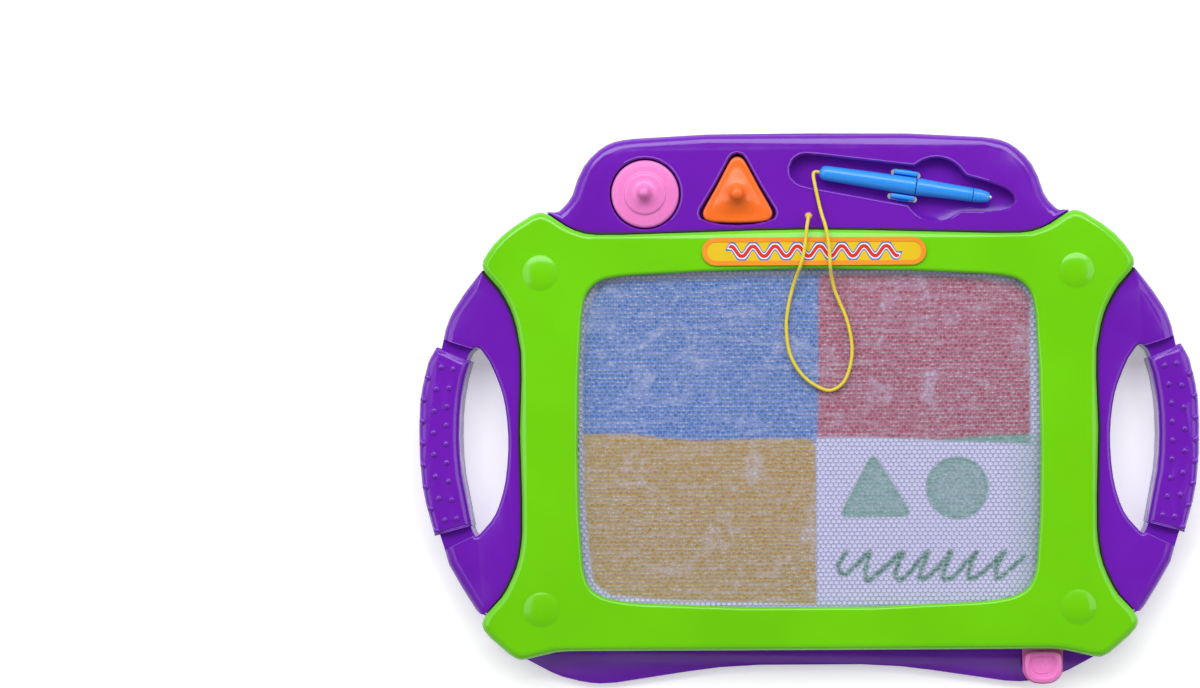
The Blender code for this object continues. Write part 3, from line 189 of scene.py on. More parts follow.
# Pen cord
# A soft yellow cord of twisted strands, 1.8 mm thick, knotted under the tray. It comes up through
# a small hole, lies over the frame and the screen in one long loop, and ends in the pen's tail.
# A small collar of the cord's own strands fills the rim of the hole.
CORD_ROUTE = (
    (0.0003, 0.1032, 0.0175), (0.0003, 0.1032, 0.0204), (0.0002, 0.1025, 0.0234),
    (-0.0001, 0.1004, 0.0259), (-0.0006, 0.0972, 0.0270), (-0.0012, 0.0910, 0.0269),
    (-0.0022, 0.0840, 0.0269), (-0.0042, 0.0762, 0.0265), (-0.0066, 0.0704, 0.0227),
    (-0.0088, 0.0633, 0.0200), (-0.0108, 0.0550, 0.0198), (-0.0119, 0.0430, 0.0198),
    (-0.0098, 0.0291, 0.0198), (-0.0035, 0.0184, 0.0198), (0.0040, 0.0125, 0.0198),
    (0.0112, 0.0101, 0.0198), (0.0180, 0.0138, 0.0198), (0.0222, 0.0236, 0.0198),
    (0.0230, 0.0345, 0.0198), (0.0203, 0.0480, 0.0198), (0.0162, 0.0580, 0.0198),
    (0.0139, 0.0640, 0.0201), (0.0124, 0.0706, 0.0227), (0.0116, 0.0762, 0.0265),
    (0.0112, 0.0850, 0.0269), (0.0103, 0.0918, 0.0269), (0.0091, 0.0978, 0.0261),
    (0.0074, 0.1033, 0.0233), (0.0061, 0.1085, 0.0212), (0.0050, 0.1135, 0.0209),
    (0.0041, 0.1178, 0.0209), (0.0035, 0.1210, 0.0203), (0.0030, 0.1240, 0.0187),
    (0.0031, 0.1262, 0.0174), (0.0042, 0.1270, 0.0171), (0.0062, 0.12668, 0.01695),
)
CORD_DIAMETER = 0.0018
CORD_GROOVE_SHADE = (0.60, 0.43, 0.010)
CORD_YELLOW = (0.95, 0.76, 0.035)
STRAND_TURNS = 900.0
STRANDS = 3.0
COLLAR_RADIUS = 0.0012
COLLAR_PLACE = (0.0003, 0.1032, 0.0200)
COLLAR_FOOT = (0.0003, 0.1032, 0.01965)
COLLAR_STRETCH = (1.0, 0.94, 0.9)
COLLAR_GAP_SHADE = (0.72, 0.30, 0.02)
COLLAR_YELLOW = (0.95, 0.62, 0.05)


def smooth_line(points, pieces):
    """Points on a centripetal Catmull-Rom curve through the given ones."""
    knots = [Vector(point) for point in points]
    row = [2 * knots[0] - knots[1], *knots, 2 * knots[-1] - knots[-2]]
    line = []
    for a, b, c, d in zip(row, row[1:], row[2:], row[3:]):
        t1 = math.sqrt((b - a).length)
        t2 = t1 + math.sqrt((c - b).length)
        t3 = t2 + math.sqrt((d - c).length)
        for piece in range(pieces):
            t = t1 + (t2 - t1) * piece / pieces
            first = a + (b - a) * (t / t1)
            second = b + (c - b) * ((t - t1) / (t2 - t1))
            third = c + (d - c) * ((t - t2) / (t3 - t2))
            left = first + (second - first) * (t / t2)
            right = second + (third - second) * ((t - t1) / (t3 - t1))
            line.append(left + (right - left) * ((t - t1) / (t2 - t1)))
    return [*line, knots[-1]]


def tube(name, line, radius, sides):
    """A closed tube along a line, with a UV map that runs along it in metres and round it."""
    mesh = bmesh.new()
    uv = mesh.loops.layers.uv.new("along")
    rings, lengths = [], [0.0]
    side = None
    for number, point in enumerate(line):
        before = line[max(0, number - 1)]
        after = line[min(len(line) - 1, number + 1)]
        ahead = (after - before).normalized()
        if side is None:
            side = ahead.orthogonal().normalized()
        side = (side - ahead * side.dot(ahead)).normalized()
        other = ahead.cross(side)
        ring = []
        for turn in range(sides):
            angle = math.tau * turn / sides
            spoke = side * math.cos(angle) + other * math.sin(angle)
            ring.append(mesh.verts.new(point + spoke * radius))
        rings.append(ring)
        if number:
            lengths.append(lengths[-1] + (point - line[number - 1]).length)
    for number, (first, second) in enumerate(zip(rings, rings[1:])):
        for turn in range(sides):
            after = (turn + 1) % sides
            face = mesh.faces.new((first[turn], first[after], second[after], second[turn]))
            face.smooth = True
            low, high = lengths[number], lengths[number + 1]
            places = ((low, turn), (low, turn + 1), (high, turn + 1), (high, turn))
            for loop, (along, round_share) in zip(face.loops, places):
                loop[uv].uv = (along, round_share / sides)
    mesh.faces.new(reversed(rings[0]))
    mesh.faces.new(rings[-1])
    data = bpy.data.meshes.new(name)
    mesh.to_mesh(data)
    mesh.free()
    piece = bpy.data.objects.new(name, data)
    bpy.context.scene.collection.objects.link(piece)
    return piece


def bumped(tree, height, strength, distance, **inputs):
    """The normal of a surface with this relief; distance is the relief's real height."""
    inputs = {"Height": height, "Strength": strength, "Distance": distance, **inputs}
    return add_node(tree, "Bump", inputs).outputs[0]


def noise(tree, place, scale, detail=2.0, **inputs):
    """The level of a noise pattern at a place."""
    inputs = {"Vector": place, "Scale": scale, "Detail": detail, **inputs}
    return add_node(tree, "TexNoise", inputs).outputs[0]


def object_place(tree):
    return add_node(tree, "TexCoord").outputs["Object"]


def close_up():
    """Turns all faces of the piece in edit mode outwards, and leaves edit mode."""
    bpy.ops.mesh.select_all(action="SELECT")
    bpy.ops.mesh.normals_make_consistent(inside=False)
    bpy.ops.object.mode_set(mode="OBJECT")


cord_line = smooth_line(CORD_ROUTE, 10)
cord = tube("yellow_cord", cord_line, CORD_DIAMETER / 2, 12)
cord_look, tree, shader = new_look("yellow_cord")
along = add_node(tree, "SeparateXYZ", {0: add_node(tree, "UVMap", uv_map="along").outputs[0]})
strand = calculate(tree, "MULTIPLY", along.outputs["X"], STRAND_TURNS)
strand = calculate(tree, "MULTIPLY_ADD", along.outputs["Y"], STRANDS, strand)
strand = calculate(tree, "PINGPONG", strand, 0.5)
# The narrow darker lines where the strands meet are painted shade in the grooves between them.
set_inputs(tree, shader, {
    "Base Color": colour_ramp(tree, strand, ((0.02, CORD_GROOVE_SHADE), (0.36, CORD_YELLOW))),
    "Roughness": 0.62, "Sheen Weight": 0.3, "Normal": bumped(tree, strand, 0.6, 0.0002),
})
cord.data.materials.append(cord_look)
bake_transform(cord, "board", "pen", start=(0.011, 0.085, 0.027), end=(0.003, 0.1245, 0.018))
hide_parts("pen_cord")

bpy.ops.object.select_all(action="DESELECT")
bpy.ops.mesh.primitive_torus_add(
    major_radius=COLLAR_RADIUS, minor_radius=COLLAR_RADIUS / 2,
    major_segments=32, minor_segments=12, location=COLLAR_PLACE,
)
collar = bpy.context.object
collar.name = "cord_collar"
bpy.ops.object.transform_apply()
bpy.ops.object.mode_set(mode="EDIT")
bpy.ops.transform.resize(value=COLLAR_STRETCH)
bpy.ops.mesh.bisect(plane_co=COLLAR_FOOT, plane_no=(0.0, 0.0, 1.0), clear_inner=True, use_fill=True)
close_up()
bpy.ops.object.shade_smooth_by_angle(angle=math.radians(50))
collar_look, tree, shader = new_look("cord_collar")
# Fine noise darkens the collar in spots between its strands: painted shade.
strand = noise(tree, object_place(tree), 2600.0)
set_inputs(tree, shader, {
    "Base Color": colour_ramp(tree, strand, ((0.35, COLLAR_GAP_SHADE), (0.6, COLLAR_YELLOW))),
    "Roughness": 0.5,
})
collar.data.materials.append(collar_look)
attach(collar, "board")
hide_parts("pen_cord")


# Moulded back
# One shell of glossy purple plastic: a flat pan, the tray with its three recesses, two hand grips
# with rows of small bumps, and the lip that slopes down at the near edge. Fine raised beads run
# round the mouths of the recesses and along the grips' edges; their paler purple is a painted
# highlight.
PURPLE = (0.160, 0.012, 0.455)
BEAD_HIGHLIGHT_PURPLE = (0.26, 0.07, 0.60)
BACK_EDGE = 0.0003
TRAY_TOP = 0.0195
TRAY_NEAR = 0.1005
TRAY_HALF = 0.100
ON_TOP = 0.00005
BEAD_RADIUS = 0.00036
GRIP_BEAD_RADIUS = 0.00022
GRIP_EDGE_LOW = 0.0180
GRIP_EDGE_HIGH = 0.02075
GRIP_EDGE_X = 0.160
GRIP_INNER = 0.175
BUMP_TOP = 0.02145
BUMP_MIDDLE = 0.0198
BUMP_FOOT = 0.0201
BUMP_RADIUS = 0.002


def choose_only(piece):
    bpy.ops.object.select_all(action="DESELECT")
    piece.select_set(True)
    bpy.context.view_layer.objects.active = piece


def even_shading(piece, angle=38.0):
    choose_only(piece)
    bpy.ops.object.shade_smooth_by_angle(angle=math.radians(angle))


def moulded_copy(node, name):
    """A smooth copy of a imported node, with its triangles joined where they meet."""
    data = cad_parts[node].data.copy()
    data.name = name
    copy = bpy.data.objects.new(name, data)
    bpy.context.scene.collection.objects.link(copy)
    choose_only(copy)
    bpy.ops.object.mode_set(mode="EDIT")
    bpy.ops.mesh.select_all(action="SELECT")
    bpy.ops.mesh.remove_doubles(threshold=0.00001)
    bpy.ops.mesh.dissolve_limited(angle_limit=math.radians(0.6))
    bpy.ops.object.mode_set(mode="OBJECT")
    even_shading(copy, 32.0)
    even = copy.modifiers.new("even", "WEIGHTED_NORMAL")
    even.keep_sharp = True
    even.weight = 80
    bpy.ops.object.modifier_apply(modifier=even.name)
    return copy


def softened(piece, width, segments=3, angle=30.0):
    """A small even rounding along every sharp edge."""
    rounding = piece.modifiers.new("rounding", "BEVEL")
    rounding.width = width
    rounding.segments = segments
    rounding.limit_method = "ANGLE"
    rounding.angle_limit = math.radians(angle)
    rounding.harden_normals = False
    bpy.context.view_layer.objects.active = piece
    bpy.ops.object.modifier_apply(modifier=rounding.name)
    even_shading(piece, 40.0)


def moulded_plastic(name, colour, roughness=0.3, grain=0.35, spread=0.06):
    """Moulded plastic: a faint flow of tone, soft sink marks and a very fine grain."""
    made, tree, shader = new_look(name)
    place = object_place(tree)
    deep = [part * (1 - spread) for part in colour]
    pale = [min(1.0, part * (1 + spread)) for part in colour]
    flow = noise(tree, place, 14.0, 3.0)
    wear = noise(tree, place, 60.0, 6.0, Roughness=0.65)
    sink = noise(tree, place, 42.0, 1.0)
    fine = bumped(tree, noise(tree, place, 1400.0), grain, 0.00002)
    set_inputs(tree, shader, {
        "Base Color": colour_ramp(tree, flow, ((0.3, deep), (0.7, pale))),
        "Roughness": ranged(tree, wear, 0.3, 0.7, roughness - 0.05, roughness + 0.07),
        "Normal": bumped(tree, sink, 0.5, 0.0002, Normal=fine),
        "IOR": 1.5,
    })
    return made


def use_look(piece, look):
    piece.data.materials.clear()
    piece.data.materials.append(look)


def joined(pieces, name):
    """One piece of several, of which the last is the active object."""
    for piece in pieces:
        piece.select_set(True)
    bpy.ops.object.transform_apply()
    bpy.ops.object.join()
    bpy.context.object.name = name
    return bpy.context.object


def edge_bead(name, angle, kept, radius, look, lift=0.0):
    """A thin bead along those sharp edges of the back whose two ends are kept: a copy's edges
    become a curve with a round section."""
    piece = moulded_copy("base_shell", name)
    bpy.ops.object.mode_set(mode="EDIT")
    bpy.ops.mesh.select_mode(type="EDGE")
    bpy.ops.mesh.select_all(action="DESELECT")
    bpy.ops.mesh.edges_select_sharp(sharpness=math.radians(angle))
    bpy.ops.object.mode_set(mode="OBJECT")
    points, edges = piece.data.vertices, piece.data.edges
    chosen = {
        edge.index for edge in edges
        if edge.select and all(kept(points[end].co) for end in edge.vertices)
    }
    for item in (*points, *edges, *piece.data.polygons):
        item.select = False
    for edge in edges:
        edge.select = edge.index in chosen
    bpy.ops.object.mode_set(mode="EDIT")
    bpy.ops.mesh.select_all(action="INVERT")
    bpy.ops.mesh.delete(type="EDGE")
    bpy.ops.object.mode_set(mode="OBJECT")
    bpy.ops.object.convert(target="CURVE")
    piece = bpy.context.object
    piece.data.bevel_depth = radius
    piece.data.bevel_resolution = 3
    piece.data.use_fill_caps = True
    bpy.ops.object.convert(target="MESH")
    piece = bpy.context.object
    piece.data.transform(Matrix.Translation((0.0, 0.0, lift)))
    bpy.ops.object.shade_smooth()
    use_look(piece, look)
    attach(piece, "board")
    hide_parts("base_shell")


def beside_recess(point):
    """Whether a point of the back's top edge is on the mouth of a recess."""
    return abs(point.z - TRAY_TOP) < ON_TOP and point.y > TRAY_NEAR and abs(point.x) < TRAY_HALF


def beside_grip(point):
    """Whether a point of the back is on an edge of a hand grip or its hole."""
    outside = abs(point.x) > GRIP_EDGE_X and abs(point.y) < TRAY_HALF
    return GRIP_EDGE_LOW < point.z < GRIP_EDGE_HIGH and outside


purple_plastic = moulded_plastic("purple_plastic", PURPLE, 0.14, grain=0.2)
back = moulded_copy("base_shell", "purple_back")
softened(back, BACK_EDGE, 2, 40.0)
use_look(back, purple_plastic)
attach(back, "board")
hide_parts("base_shell")
# The beads share the back's plastic but are painted paler: a painted highlight along those edges.
bead_painted_highlight = moulded_plastic("bead_painted_highlight", BEAD_HIGHLIGHT_PURPLE, 0.12, grain=0.1)
edge_bead("recess_beads", 35.0, beside_recess, BEAD_RADIUS, bead_painted_highlight)
edge_bead("grip_beads", 30.0, beside_grip, GRIP_BEAD_RADIUS, bead_painted_highlight)

# Each grip bump is a smooth dome over the top of the rough one in the frame, cut off below the
# grip's face.
domes = []
for vertex in back.data.vertices:
    top = vertex.co
    if abs(top.x) <= GRIP_INNER or top.z <= BUMP_TOP:
        continue
    if any((top - dome.location.xyz).xy.length < BUMP_RADIUS for dome in domes):
        continue
    bpy.ops.object.select_all(action="DESELECT")
    bpy.ops.mesh.primitive_uv_sphere_add(
        segments=20, ring_count=12, radius=BUMP_RADIUS, location=(top.x, top.y, BUMP_MIDDLE)
    )
    domes.append(bpy.context.object)
bumps = joined(domes, "grip_bumps")
bpy.ops.object.mode_set(mode="EDIT")
bpy.ops.mesh.select_all(action="SELECT")
bpy.ops.mesh.bisect(
    plane_co=(0.0, 0.0, BUMP_FOOT), plane_no=(0.0, 0.0, 1.0), clear_inner=True, use_fill=True
)
close_up()
even_shading(bumps, 40.0)
use_look(bumps, purple_plastic)
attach(bumps, "board")
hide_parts("base_shell")


# Front frame
# A frame of bright green plastic with four wide ears, clamped on the back by screws from behind. A
# low round dome stands over each corner screw, and the inner edge is rounded down to the screen.
# Where it meets the back's top there is a narrow gap; a thin near-black strip laid in it is its
# painted shadow.
GREEN = (0.165, 0.640, 0.004)
GAP_SHADOW_TONE = (0.012, 0.004, 0.018)
GAP_SHADOW_RADIUS = 0.0009
GAP_SHADOW_DROP = 0.0004
GAP_REACH = 0.0025
ABOVE_ALL = 0.1
DOWN = Vector((0.0, 0.0, -1.0))
front = moulded_copy("front_frame", "green_frame")
use_look(front, moulded_plastic("green_plastic", GREEN, 0.16, grain=0.2))


def beside_frame(point):
    """Whether the frame stands just inside this point of the back's top edge."""
    inward = Vector((-point.x, -point.y, 0.0)).normalized() * GAP_REACH
    start = Vector((point.x, point.y, ABOVE_ALL)) + inward
    return abs(point.z - TRAY_TOP) < ON_TOP and front.ray_cast(start, DOWN)[0]


# A near-black strip along the back's top edge where the frame stands: painted shadow in the gap.
gap_shadow_look = moulded_plastic("gap_painted_shadow", GAP_SHADOW_TONE, 0.6)
edge_bead("painted_gap_shadow", 35.0, beside_frame, GAP_SHADOW_RADIUS, gap_shadow_look, -GAP_SHADOW_DROP)
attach(front, "board")
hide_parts("front_frame")


# Screen
# A thin white honeycomb sheet between a clear film and a white back sheet. Its cells hold a milky
# fluid and magnetic powder, which the pen and the stamps draw up to the film. Tinted fields on the
# film give the powder four colours, and three of them have been rubbed full.
MILLIMETRE = 0.001
CELL_PITCH = 0.0028
ROW_PITCH = 0.002175
CELL_SQUASH = ROW_PITCH / (CELL_PITCH * math.sqrt(3) / 2)
CELL_LAND = 0.00009
CELL_SLOPE = 0.00014
CELL_DEPTH = 0.0003
FIELD_CORNER = (0.0044, -0.0152)
LEFT_COLUMNS = 46
RIGHT_COLUMNS = 43
FAR_PAIRS = 22
NEAR_PAIRS = 21
FLUID = (0.640, 0.635, 0.900, 1.0)
CELL_WALL_TONE = (0.360, 0.355, 0.560, 1.0)
RUBBED_WALL_TONE = (0.640, 0.660, 0.760, 1.0)
GLINT_TONE = (0.80, 0.82, 0.92, 1.0)
TINT_SHARE = 0.56
POWDER_TONES = {
    "blue": (0.018, 0.140, 0.490), "red": (0.350, 0.025, 0.080),
    "ochre": (0.390, 0.230, 0.002), "green": (0.035, 0.250, 0.165),
    "stroke": (0.008, 0.170, 0.105),
}
FIELD_SOFT = 0.0009
RIM_SOFT = 0.00144
STROKE_SOFT = 0.00054
FIELD_SPLIT_X = ((0.1, 0.0061), (-0.0145, 0.0044), (-0.02, 0.0036), (-0.12, 0.0036))
FIELD_SPLIT_LEFT = (
    (-0.13, -0.0124), (-0.0939, -0.0126), (-0.0779, -0.0150), (-0.0583, -0.0163),
    (-0.0191, -0.0153), (-0.0013, -0.0154), (0.004, -0.0181),
)
FIELD_SPLIT_RIGHT = (
    (0.004, -0.0149), (0.0343, -0.0150), (0.0699, -0.0163), (0.0930, -0.0146), (0.1179, -0.0137),
)
RUB_FAR = (
    (-0.1225, 0.052), (-0.1184, 0.0609), (-0.1112, 0.0680), (-0.0899, 0.0700), (-0.0365, 0.0715),
    (0.0054, 0.0723), (0.0525, 0.0721), (0.0881, 0.0701), (0.1112, 0.0668), (0.1183, 0.0596),
)
RUB_NEAR = (
    (-0.119, -0.085), (-0.1147, -0.0922), (-0.1068, -0.0985), (-0.0730, -0.1017), (0.004, -0.1040),
)
RUB_LEFT = (
    (-0.0985, -0.1147), (-0.0726, -0.1182), (-0.0459, -0.1204), (-0.0103, -0.1209),
    (0.0253, -0.1207), (0.052, -0.1193), (0.068, -0.1112),
)
RUB_RIGHT = 0.1182
STAMPED_TRIANGLE = ((0.0342, -0.0282), (0.0200, -0.0549), (0.0505, -0.0547))
STAMPED_TRIANGLE_ROUND = 0.0028
STAMPED_DISC = (0.0790, -0.0422)
STAMPED_DISC_RADIUS = 0.0166
STAMPED_SHARE = 0.72
STAMPED_RIM = 0.0016
STROKE = (
    (19.7, -76.0), (15.2, -84.0), (18.2, -88.5), (24.1, -84.0), (32.2, -76.1), (29.5, -85.9),
    (30.8, -91.7), (35.7, -88.6), (50.0, -76.2), (45.5, -87.7), (47.8, -91.3), (52.6, -87.8),
    (63.3, -76.2), (60.3, -84.2), (58.8, -90.5), (63.3, -89.6), (75.8, -76.3), (72.2, -84.3),
    (71.3, -91.1), (76.6, -89.7), (89.1, -76.4), (85.5, -84.4), (84.6, -90.6), (89.1, -89.7),
    (104.3, -76.5), (99.8, -84.4), (100.1, -90.7), (105.1, -88.0), (114.0, -79.2),
)
STROKE_RADIUS = 0.00125
STROKE_RAGGED = 0.0005
STROKE_WAVES = (2900.0, 3300.0)
RIM_REFLECTION_X = 0.1035
RIM_REFLECTION_Y = -0.0985
RIM_REFLECTION_WIDTH = 0.016
RIM_REFLECTION_SHARE = 0.3
WEDGE_FAR = ((0.0414, -0.0151), (0.0699, -0.0163), (0.0930, -0.0143), (0.1179, -0.0137))
WEDGE_NEAR = ((0.0414, -0.0152), (0.0788, -0.0174), (0.1179, -0.0190))
WEDGE_SHARE = 0.9
FAR_AWAY = 1.0
screen_low, screen_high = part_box("honeycomb_core")


def along_table(table, place):
    return np.interp(place, [row[0] for row in table], [row[1] for row in table])


def far_from_line(points, line):
    """How far each point lies from a line of straight pieces."""
    least = np.full(len(points), FAR_AWAY)
    for start, end in zip(np.array(line), np.array(line)[1:]):
        chord = end - start
        share = np.clip((points - start) @ chord / max(chord @ chord, 1e-12), 0.0, 1.0)
        away = np.linalg.norm(points - start - share[:, None] * chord, axis=1)
        least = np.minimum(least, away)
    return least


def inside_loop(points, loop):
    """How deep each point lies inside a loop that runs anticlockwise and has no hollow side."""
    depth = np.full(len(points), FAR_AWAY)
    for start, end in zip(np.array(loop), np.roll(np.array(loop), -1, axis=0)):
        chord = (end - start) / np.linalg.norm(end - start)
        across = points - start
        depth = np.minimum(depth, chord[0] * across[:, 1] - chord[1] * across[:, 0])
    return depth


def step(value, width):
    return np.clip(value / width + 0.5, 0.0, 1.0)


def dust_cells(piece):
    """Gives each point its powder: how much there is, how much of it is drawn, and its colour.
    Near the frame's rim it also holds a painted green reflection of the frame.
    """
    count = len(piece.data.vertices)
    places = np.empty(count * 3)
    piece.data.vertices.foreach_get("co", places)
    points = places.reshape(-1, 3)[:, :2]
    x, y = points[:, 0], points[:, 1]
    left = step(along_table(FIELD_SPLIT_X[::-1], y) - x, FIELD_SOFT)
    far_left = step(y - along_table(FIELD_SPLIT_LEFT, x), FIELD_SOFT)
    far_right = step(y - along_table(FIELD_SPLIT_RIGHT, x), FIELD_SOFT)
    rim = step(along_table(RUB_FAR, x) - y, RIM_SOFT) * step(y - along_table(RUB_NEAR, x), RIM_SOFT)
    rim = rim * step(x - along_table(RUB_LEFT, y), RIM_SOFT) * step(RUB_RIGHT - x, RIM_SOFT)
    shares = {
        "blue": left * far_left * rim, "ochre": left * (1 - far_left) * rim,
        "red": (1 - left) * far_right * rim,
    }

    # The stamps' marks are fullest along their edges.
    triangle = inside_loop(points, STAMPED_TRIANGLE) + STAMPED_TRIANGLE_ROUND
    edge = far_from_line(points, [*STAMPED_TRIANGLE, STAMPED_TRIANGLE[0]])
    triangle = np.where(triangle > STAMPED_TRIANGLE_ROUND, triangle, STAMPED_TRIANGLE_ROUND - edge)
    disc = STAMPED_DISC_RADIUS - np.linalg.norm(points - np.array(STAMPED_DISC), axis=1)
    stamped = np.maximum(step(triangle, FIELD_SOFT), step(disc, FIELD_SOFT))
    rimmed = np.minimum(np.abs(triangle), np.abs(disc)) / STAMPED_RIM
    stamped = stamped * (STAMPED_SHARE + (1 - STAMPED_SHARE) * np.exp(-rimmed ** 2))

    # The pen's stroke has a ragged edge, and a wedge of powder is left below the red field.
    line = [(px * MILLIMETRE, py * MILLIMETRE, 0.0) for px, py in STROKE]
    stroke = [(point.x, point.y) for point in smooth_line(line, 4)]
    ragged = STROKE_RAGGED * np.sin(x * STROKE_WAVES[0]) * np.sin(y * STROKE_WAVES[1])
    stroke = step(STROKE_RADIUS + ragged - far_from_line(points, stroke), STROKE_SOFT)
    wedge = step(along_table(WEDGE_FAR, x) - y, FIELD_SOFT)
    wedge = wedge * step(y - along_table(WEDGE_NEAR, x), FIELD_SOFT)
    wedge = wedge * (x > WEDGE_FAR[0][0]) * step(RUB_RIGHT - x, FIELD_SOFT)
    # Towards the frame's near and right edges the white field takes a green tint: a painted reflection of the
    # green frame, added in as green powder.
    near_rim = np.maximum((x - RIM_REFLECTION_X) / RIM_REFLECTION_WIDTH, (RIM_REFLECTION_Y - y) / RIM_REFLECTION_WIDTH)
    rim_reflection = RIM_REFLECTION_SHARE * np.clip(near_rim, 0.0, 1.0) * (1 - far_right)
    shares["green"] = (1 - left) * np.maximum(np.maximum(stamped, wedge * WEDGE_SHARE), rim_reflection)
    shares["stroke"] = (1 - left) * stroke

    tint = sum(shares[name][:, None] * np.array(POWDER_TONES[name]) for name in shares)
    total = sum(shares.values())
    tint = tint / np.maximum(total, 0.0001)[:, None]
    attributes = piece.data.attributes
    for name, level in (("powder", total), ("drawn", shares["green"] + shares["stroke"])):
        levels = attributes.new(name, "FLOAT", "POINT").data
        levels.foreach_set("value", np.clip(level, 0.0, 1.0))
    colours = piece.data.color_attributes.new("powder_tint", "FLOAT_COLOR", "POINT").data
    colours.foreach_set("color", np.concatenate([tint, np.ones((count, 1))], axis=1).ravel())


def attribute(tree, name, output="Fac"):
    return add_node(tree, "Attribute", attribute_name=name).outputs[output]


def mixed(tree, share, first, second):
    """The result of a colour Mix node; each input is a socket or a constant."""
    inputs = {"Factor": share, "A": first, "B": second}
    return add_node(tree, "Mix", inputs, data_type="RGBA").outputs["Result"]


def cell_plastic():
    """The thin milky walls, which look paler where powder fills the cells beside them."""
    made, tree, shader = new_look("cell_walls")
    pale = mixed(tree, TINT_SHARE, RUBBED_WALL_TONE, attribute(tree, "powder_tint", "Color"))
    walls = mixed(tree, attribute(tree, "powder"), CELL_WALL_TONE, pale)
    set_inputs(tree, shader, {"Base Color": walls, "Roughness": 0.3})
    return made


def powder_cell_look():
    """Milky fluid with powder in it: rubbed fields are patchy, with paler smears and streaks, and
    the far side of each cell is lightened in places by a painted glint."""
    made, tree, shader = new_look("cell_powder")
    place = object_place(tree)
    smear = noise(tree, place, 52.0, 5.0, Roughness=0.72, Distortion=0.6)
    bare = ranged(tree, smear, 0.54, 0.72, to_high=0.52)
    turned = add_node(tree, "Mapping", {
        "Vector": place, "Rotation": (0.0, 0.0, 1.05), "Scale": (40.0, 420.0, 1.0),
    }).outputs[0]
    thin = ranged(tree, noise(tree, turned, 1.0), 0.52, 0.75, to_high=0.3)
    rubbed = calculate(tree, "SUBTRACT", 1.0, attribute(tree, "drawn"))
    lost = calculate(tree, "MULTIPLY", calculate(tree, "ADD", bare, thin), rubbed)
    speck = ranged(tree, noise(tree, place, 520.0), 0.35, 0.7, to_high=0.22)
    lost = calculate(tree, "ADD", lost, speck)
    kept = calculate(tree, "SUBTRACT", 1.0, lost, clamp=True)
    share = calculate(tree, "MULTIPLY", attribute(tree, "powder"), kept, clamp=True)
    filled = mixed(tree, share, FLUID, attribute(tree, "powder_tint", "Color"))
    # A painted glint: a pale arc on the far side of each cell, in scattered patches.
    arc = ranged(tree, attribute(tree, "cell_up"), 0.22, 0.62)
    lit = ranged(tree, noise(tree, place, 330.0, 1.0), 0.46, 0.58)
    glint = calculate(tree, "MULTIPLY", arc, lit)
    set_inputs(tree, shader, {
        "Base Color": mixed(tree, glint, filled, GLINT_TONE), "Roughness": 0.32,
    })
    return made


def repeated(piece, offset, count):
    row = piece.modifiers.new("row", "ARRAY")
    row.use_relative_offset = False
    row.use_constant_offset = True
    row.constant_offset_displace = offset
    row.count = count
    bpy.context.view_layer.objects.active = piece
    bpy.ops.object.modifier_apply(modifier=row.name)


def honeycomb(name, corner, columns, row_pairs):
    """A block of cells: one cell is pressed in and repeated in rows, and the block is closed."""
    top = screen_high.z
    middle_y = corner[1] + ROW_PITCH / 2
    bpy.ops.object.select_all(action="DESELECT")
    bpy.ops.mesh.primitive_circle_add(
        vertices=6, radius=CELL_PITCH / math.sqrt(3), fill_type="NGON",
        location=(corner[0] + CELL_PITCH / 2, middle_y, top),
    )
    piece = bpy.context.object
    piece.name = name
    piece.scale.y = CELL_SQUASH
    bpy.ops.object.transform_apply()
    bpy.ops.object.mode_set(mode="EDIT")
    bpy.ops.mesh.select_all(action="SELECT")
    bpy.ops.mesh.inset(thickness=CELL_LAND)
    bpy.ops.mesh.inset(thickness=CELL_SLOPE, depth=-CELL_DEPTH)
    bpy.ops.mesh.poke(offset=-CELL_SLOPE)
    bpy.ops.object.mode_set(mode="OBJECT")
    piece.data.materials.append(cell_walls)
    piece.data.materials.append(cell_powder)
    for face in piece.data.polygons:
        face.material_index = int(face.center.z < top - CELL_DEPTH)
    upward = piece.data.attributes.new("cell_up", "FLOAT", "POINT")
    for vertex, value in zip(piece.data.vertices, upward.data):
        value.value = (vertex.co.y - middle_y) / (ROW_PITCH * 2 / 3)
    repeated(piece, (CELL_PITCH, 0.0, 0.0), columns)
    shifted = piece.copy()
    shifted.data = piece.data.copy()
    shifted.data.transform(Matrix.Translation((CELL_PITCH / 2, ROW_PITCH, 0.0)))
    bpy.context.scene.collection.objects.link(shifted)
    shifted.select_set(True)
    piece.select_set(True)
    bpy.ops.object.join()
    repeated(piece, (0.0, 2 * ROW_PITCH, 0.0), row_pairs)
    bpy.ops.object.mode_set(mode="EDIT")
    bpy.ops.mesh.select_mode(type="EDGE")
    bpy.ops.mesh.select_all(action="SELECT")
    bpy.ops.mesh.remove_doubles(threshold=0.000005)
    bpy.ops.mesh.select_all(action="DESELECT")
    bpy.ops.mesh.select_non_manifold()
    down = (0.0, 0.0, screen_low.z - top)
    bpy.ops.mesh.extrude_region_move(TRANSFORM_OT_translate={"value": down})
    bpy.ops.mesh.edge_face_add()
    close_up()
    dust_cells(piece)
    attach(piece, "board")
    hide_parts("honeycomb_core")


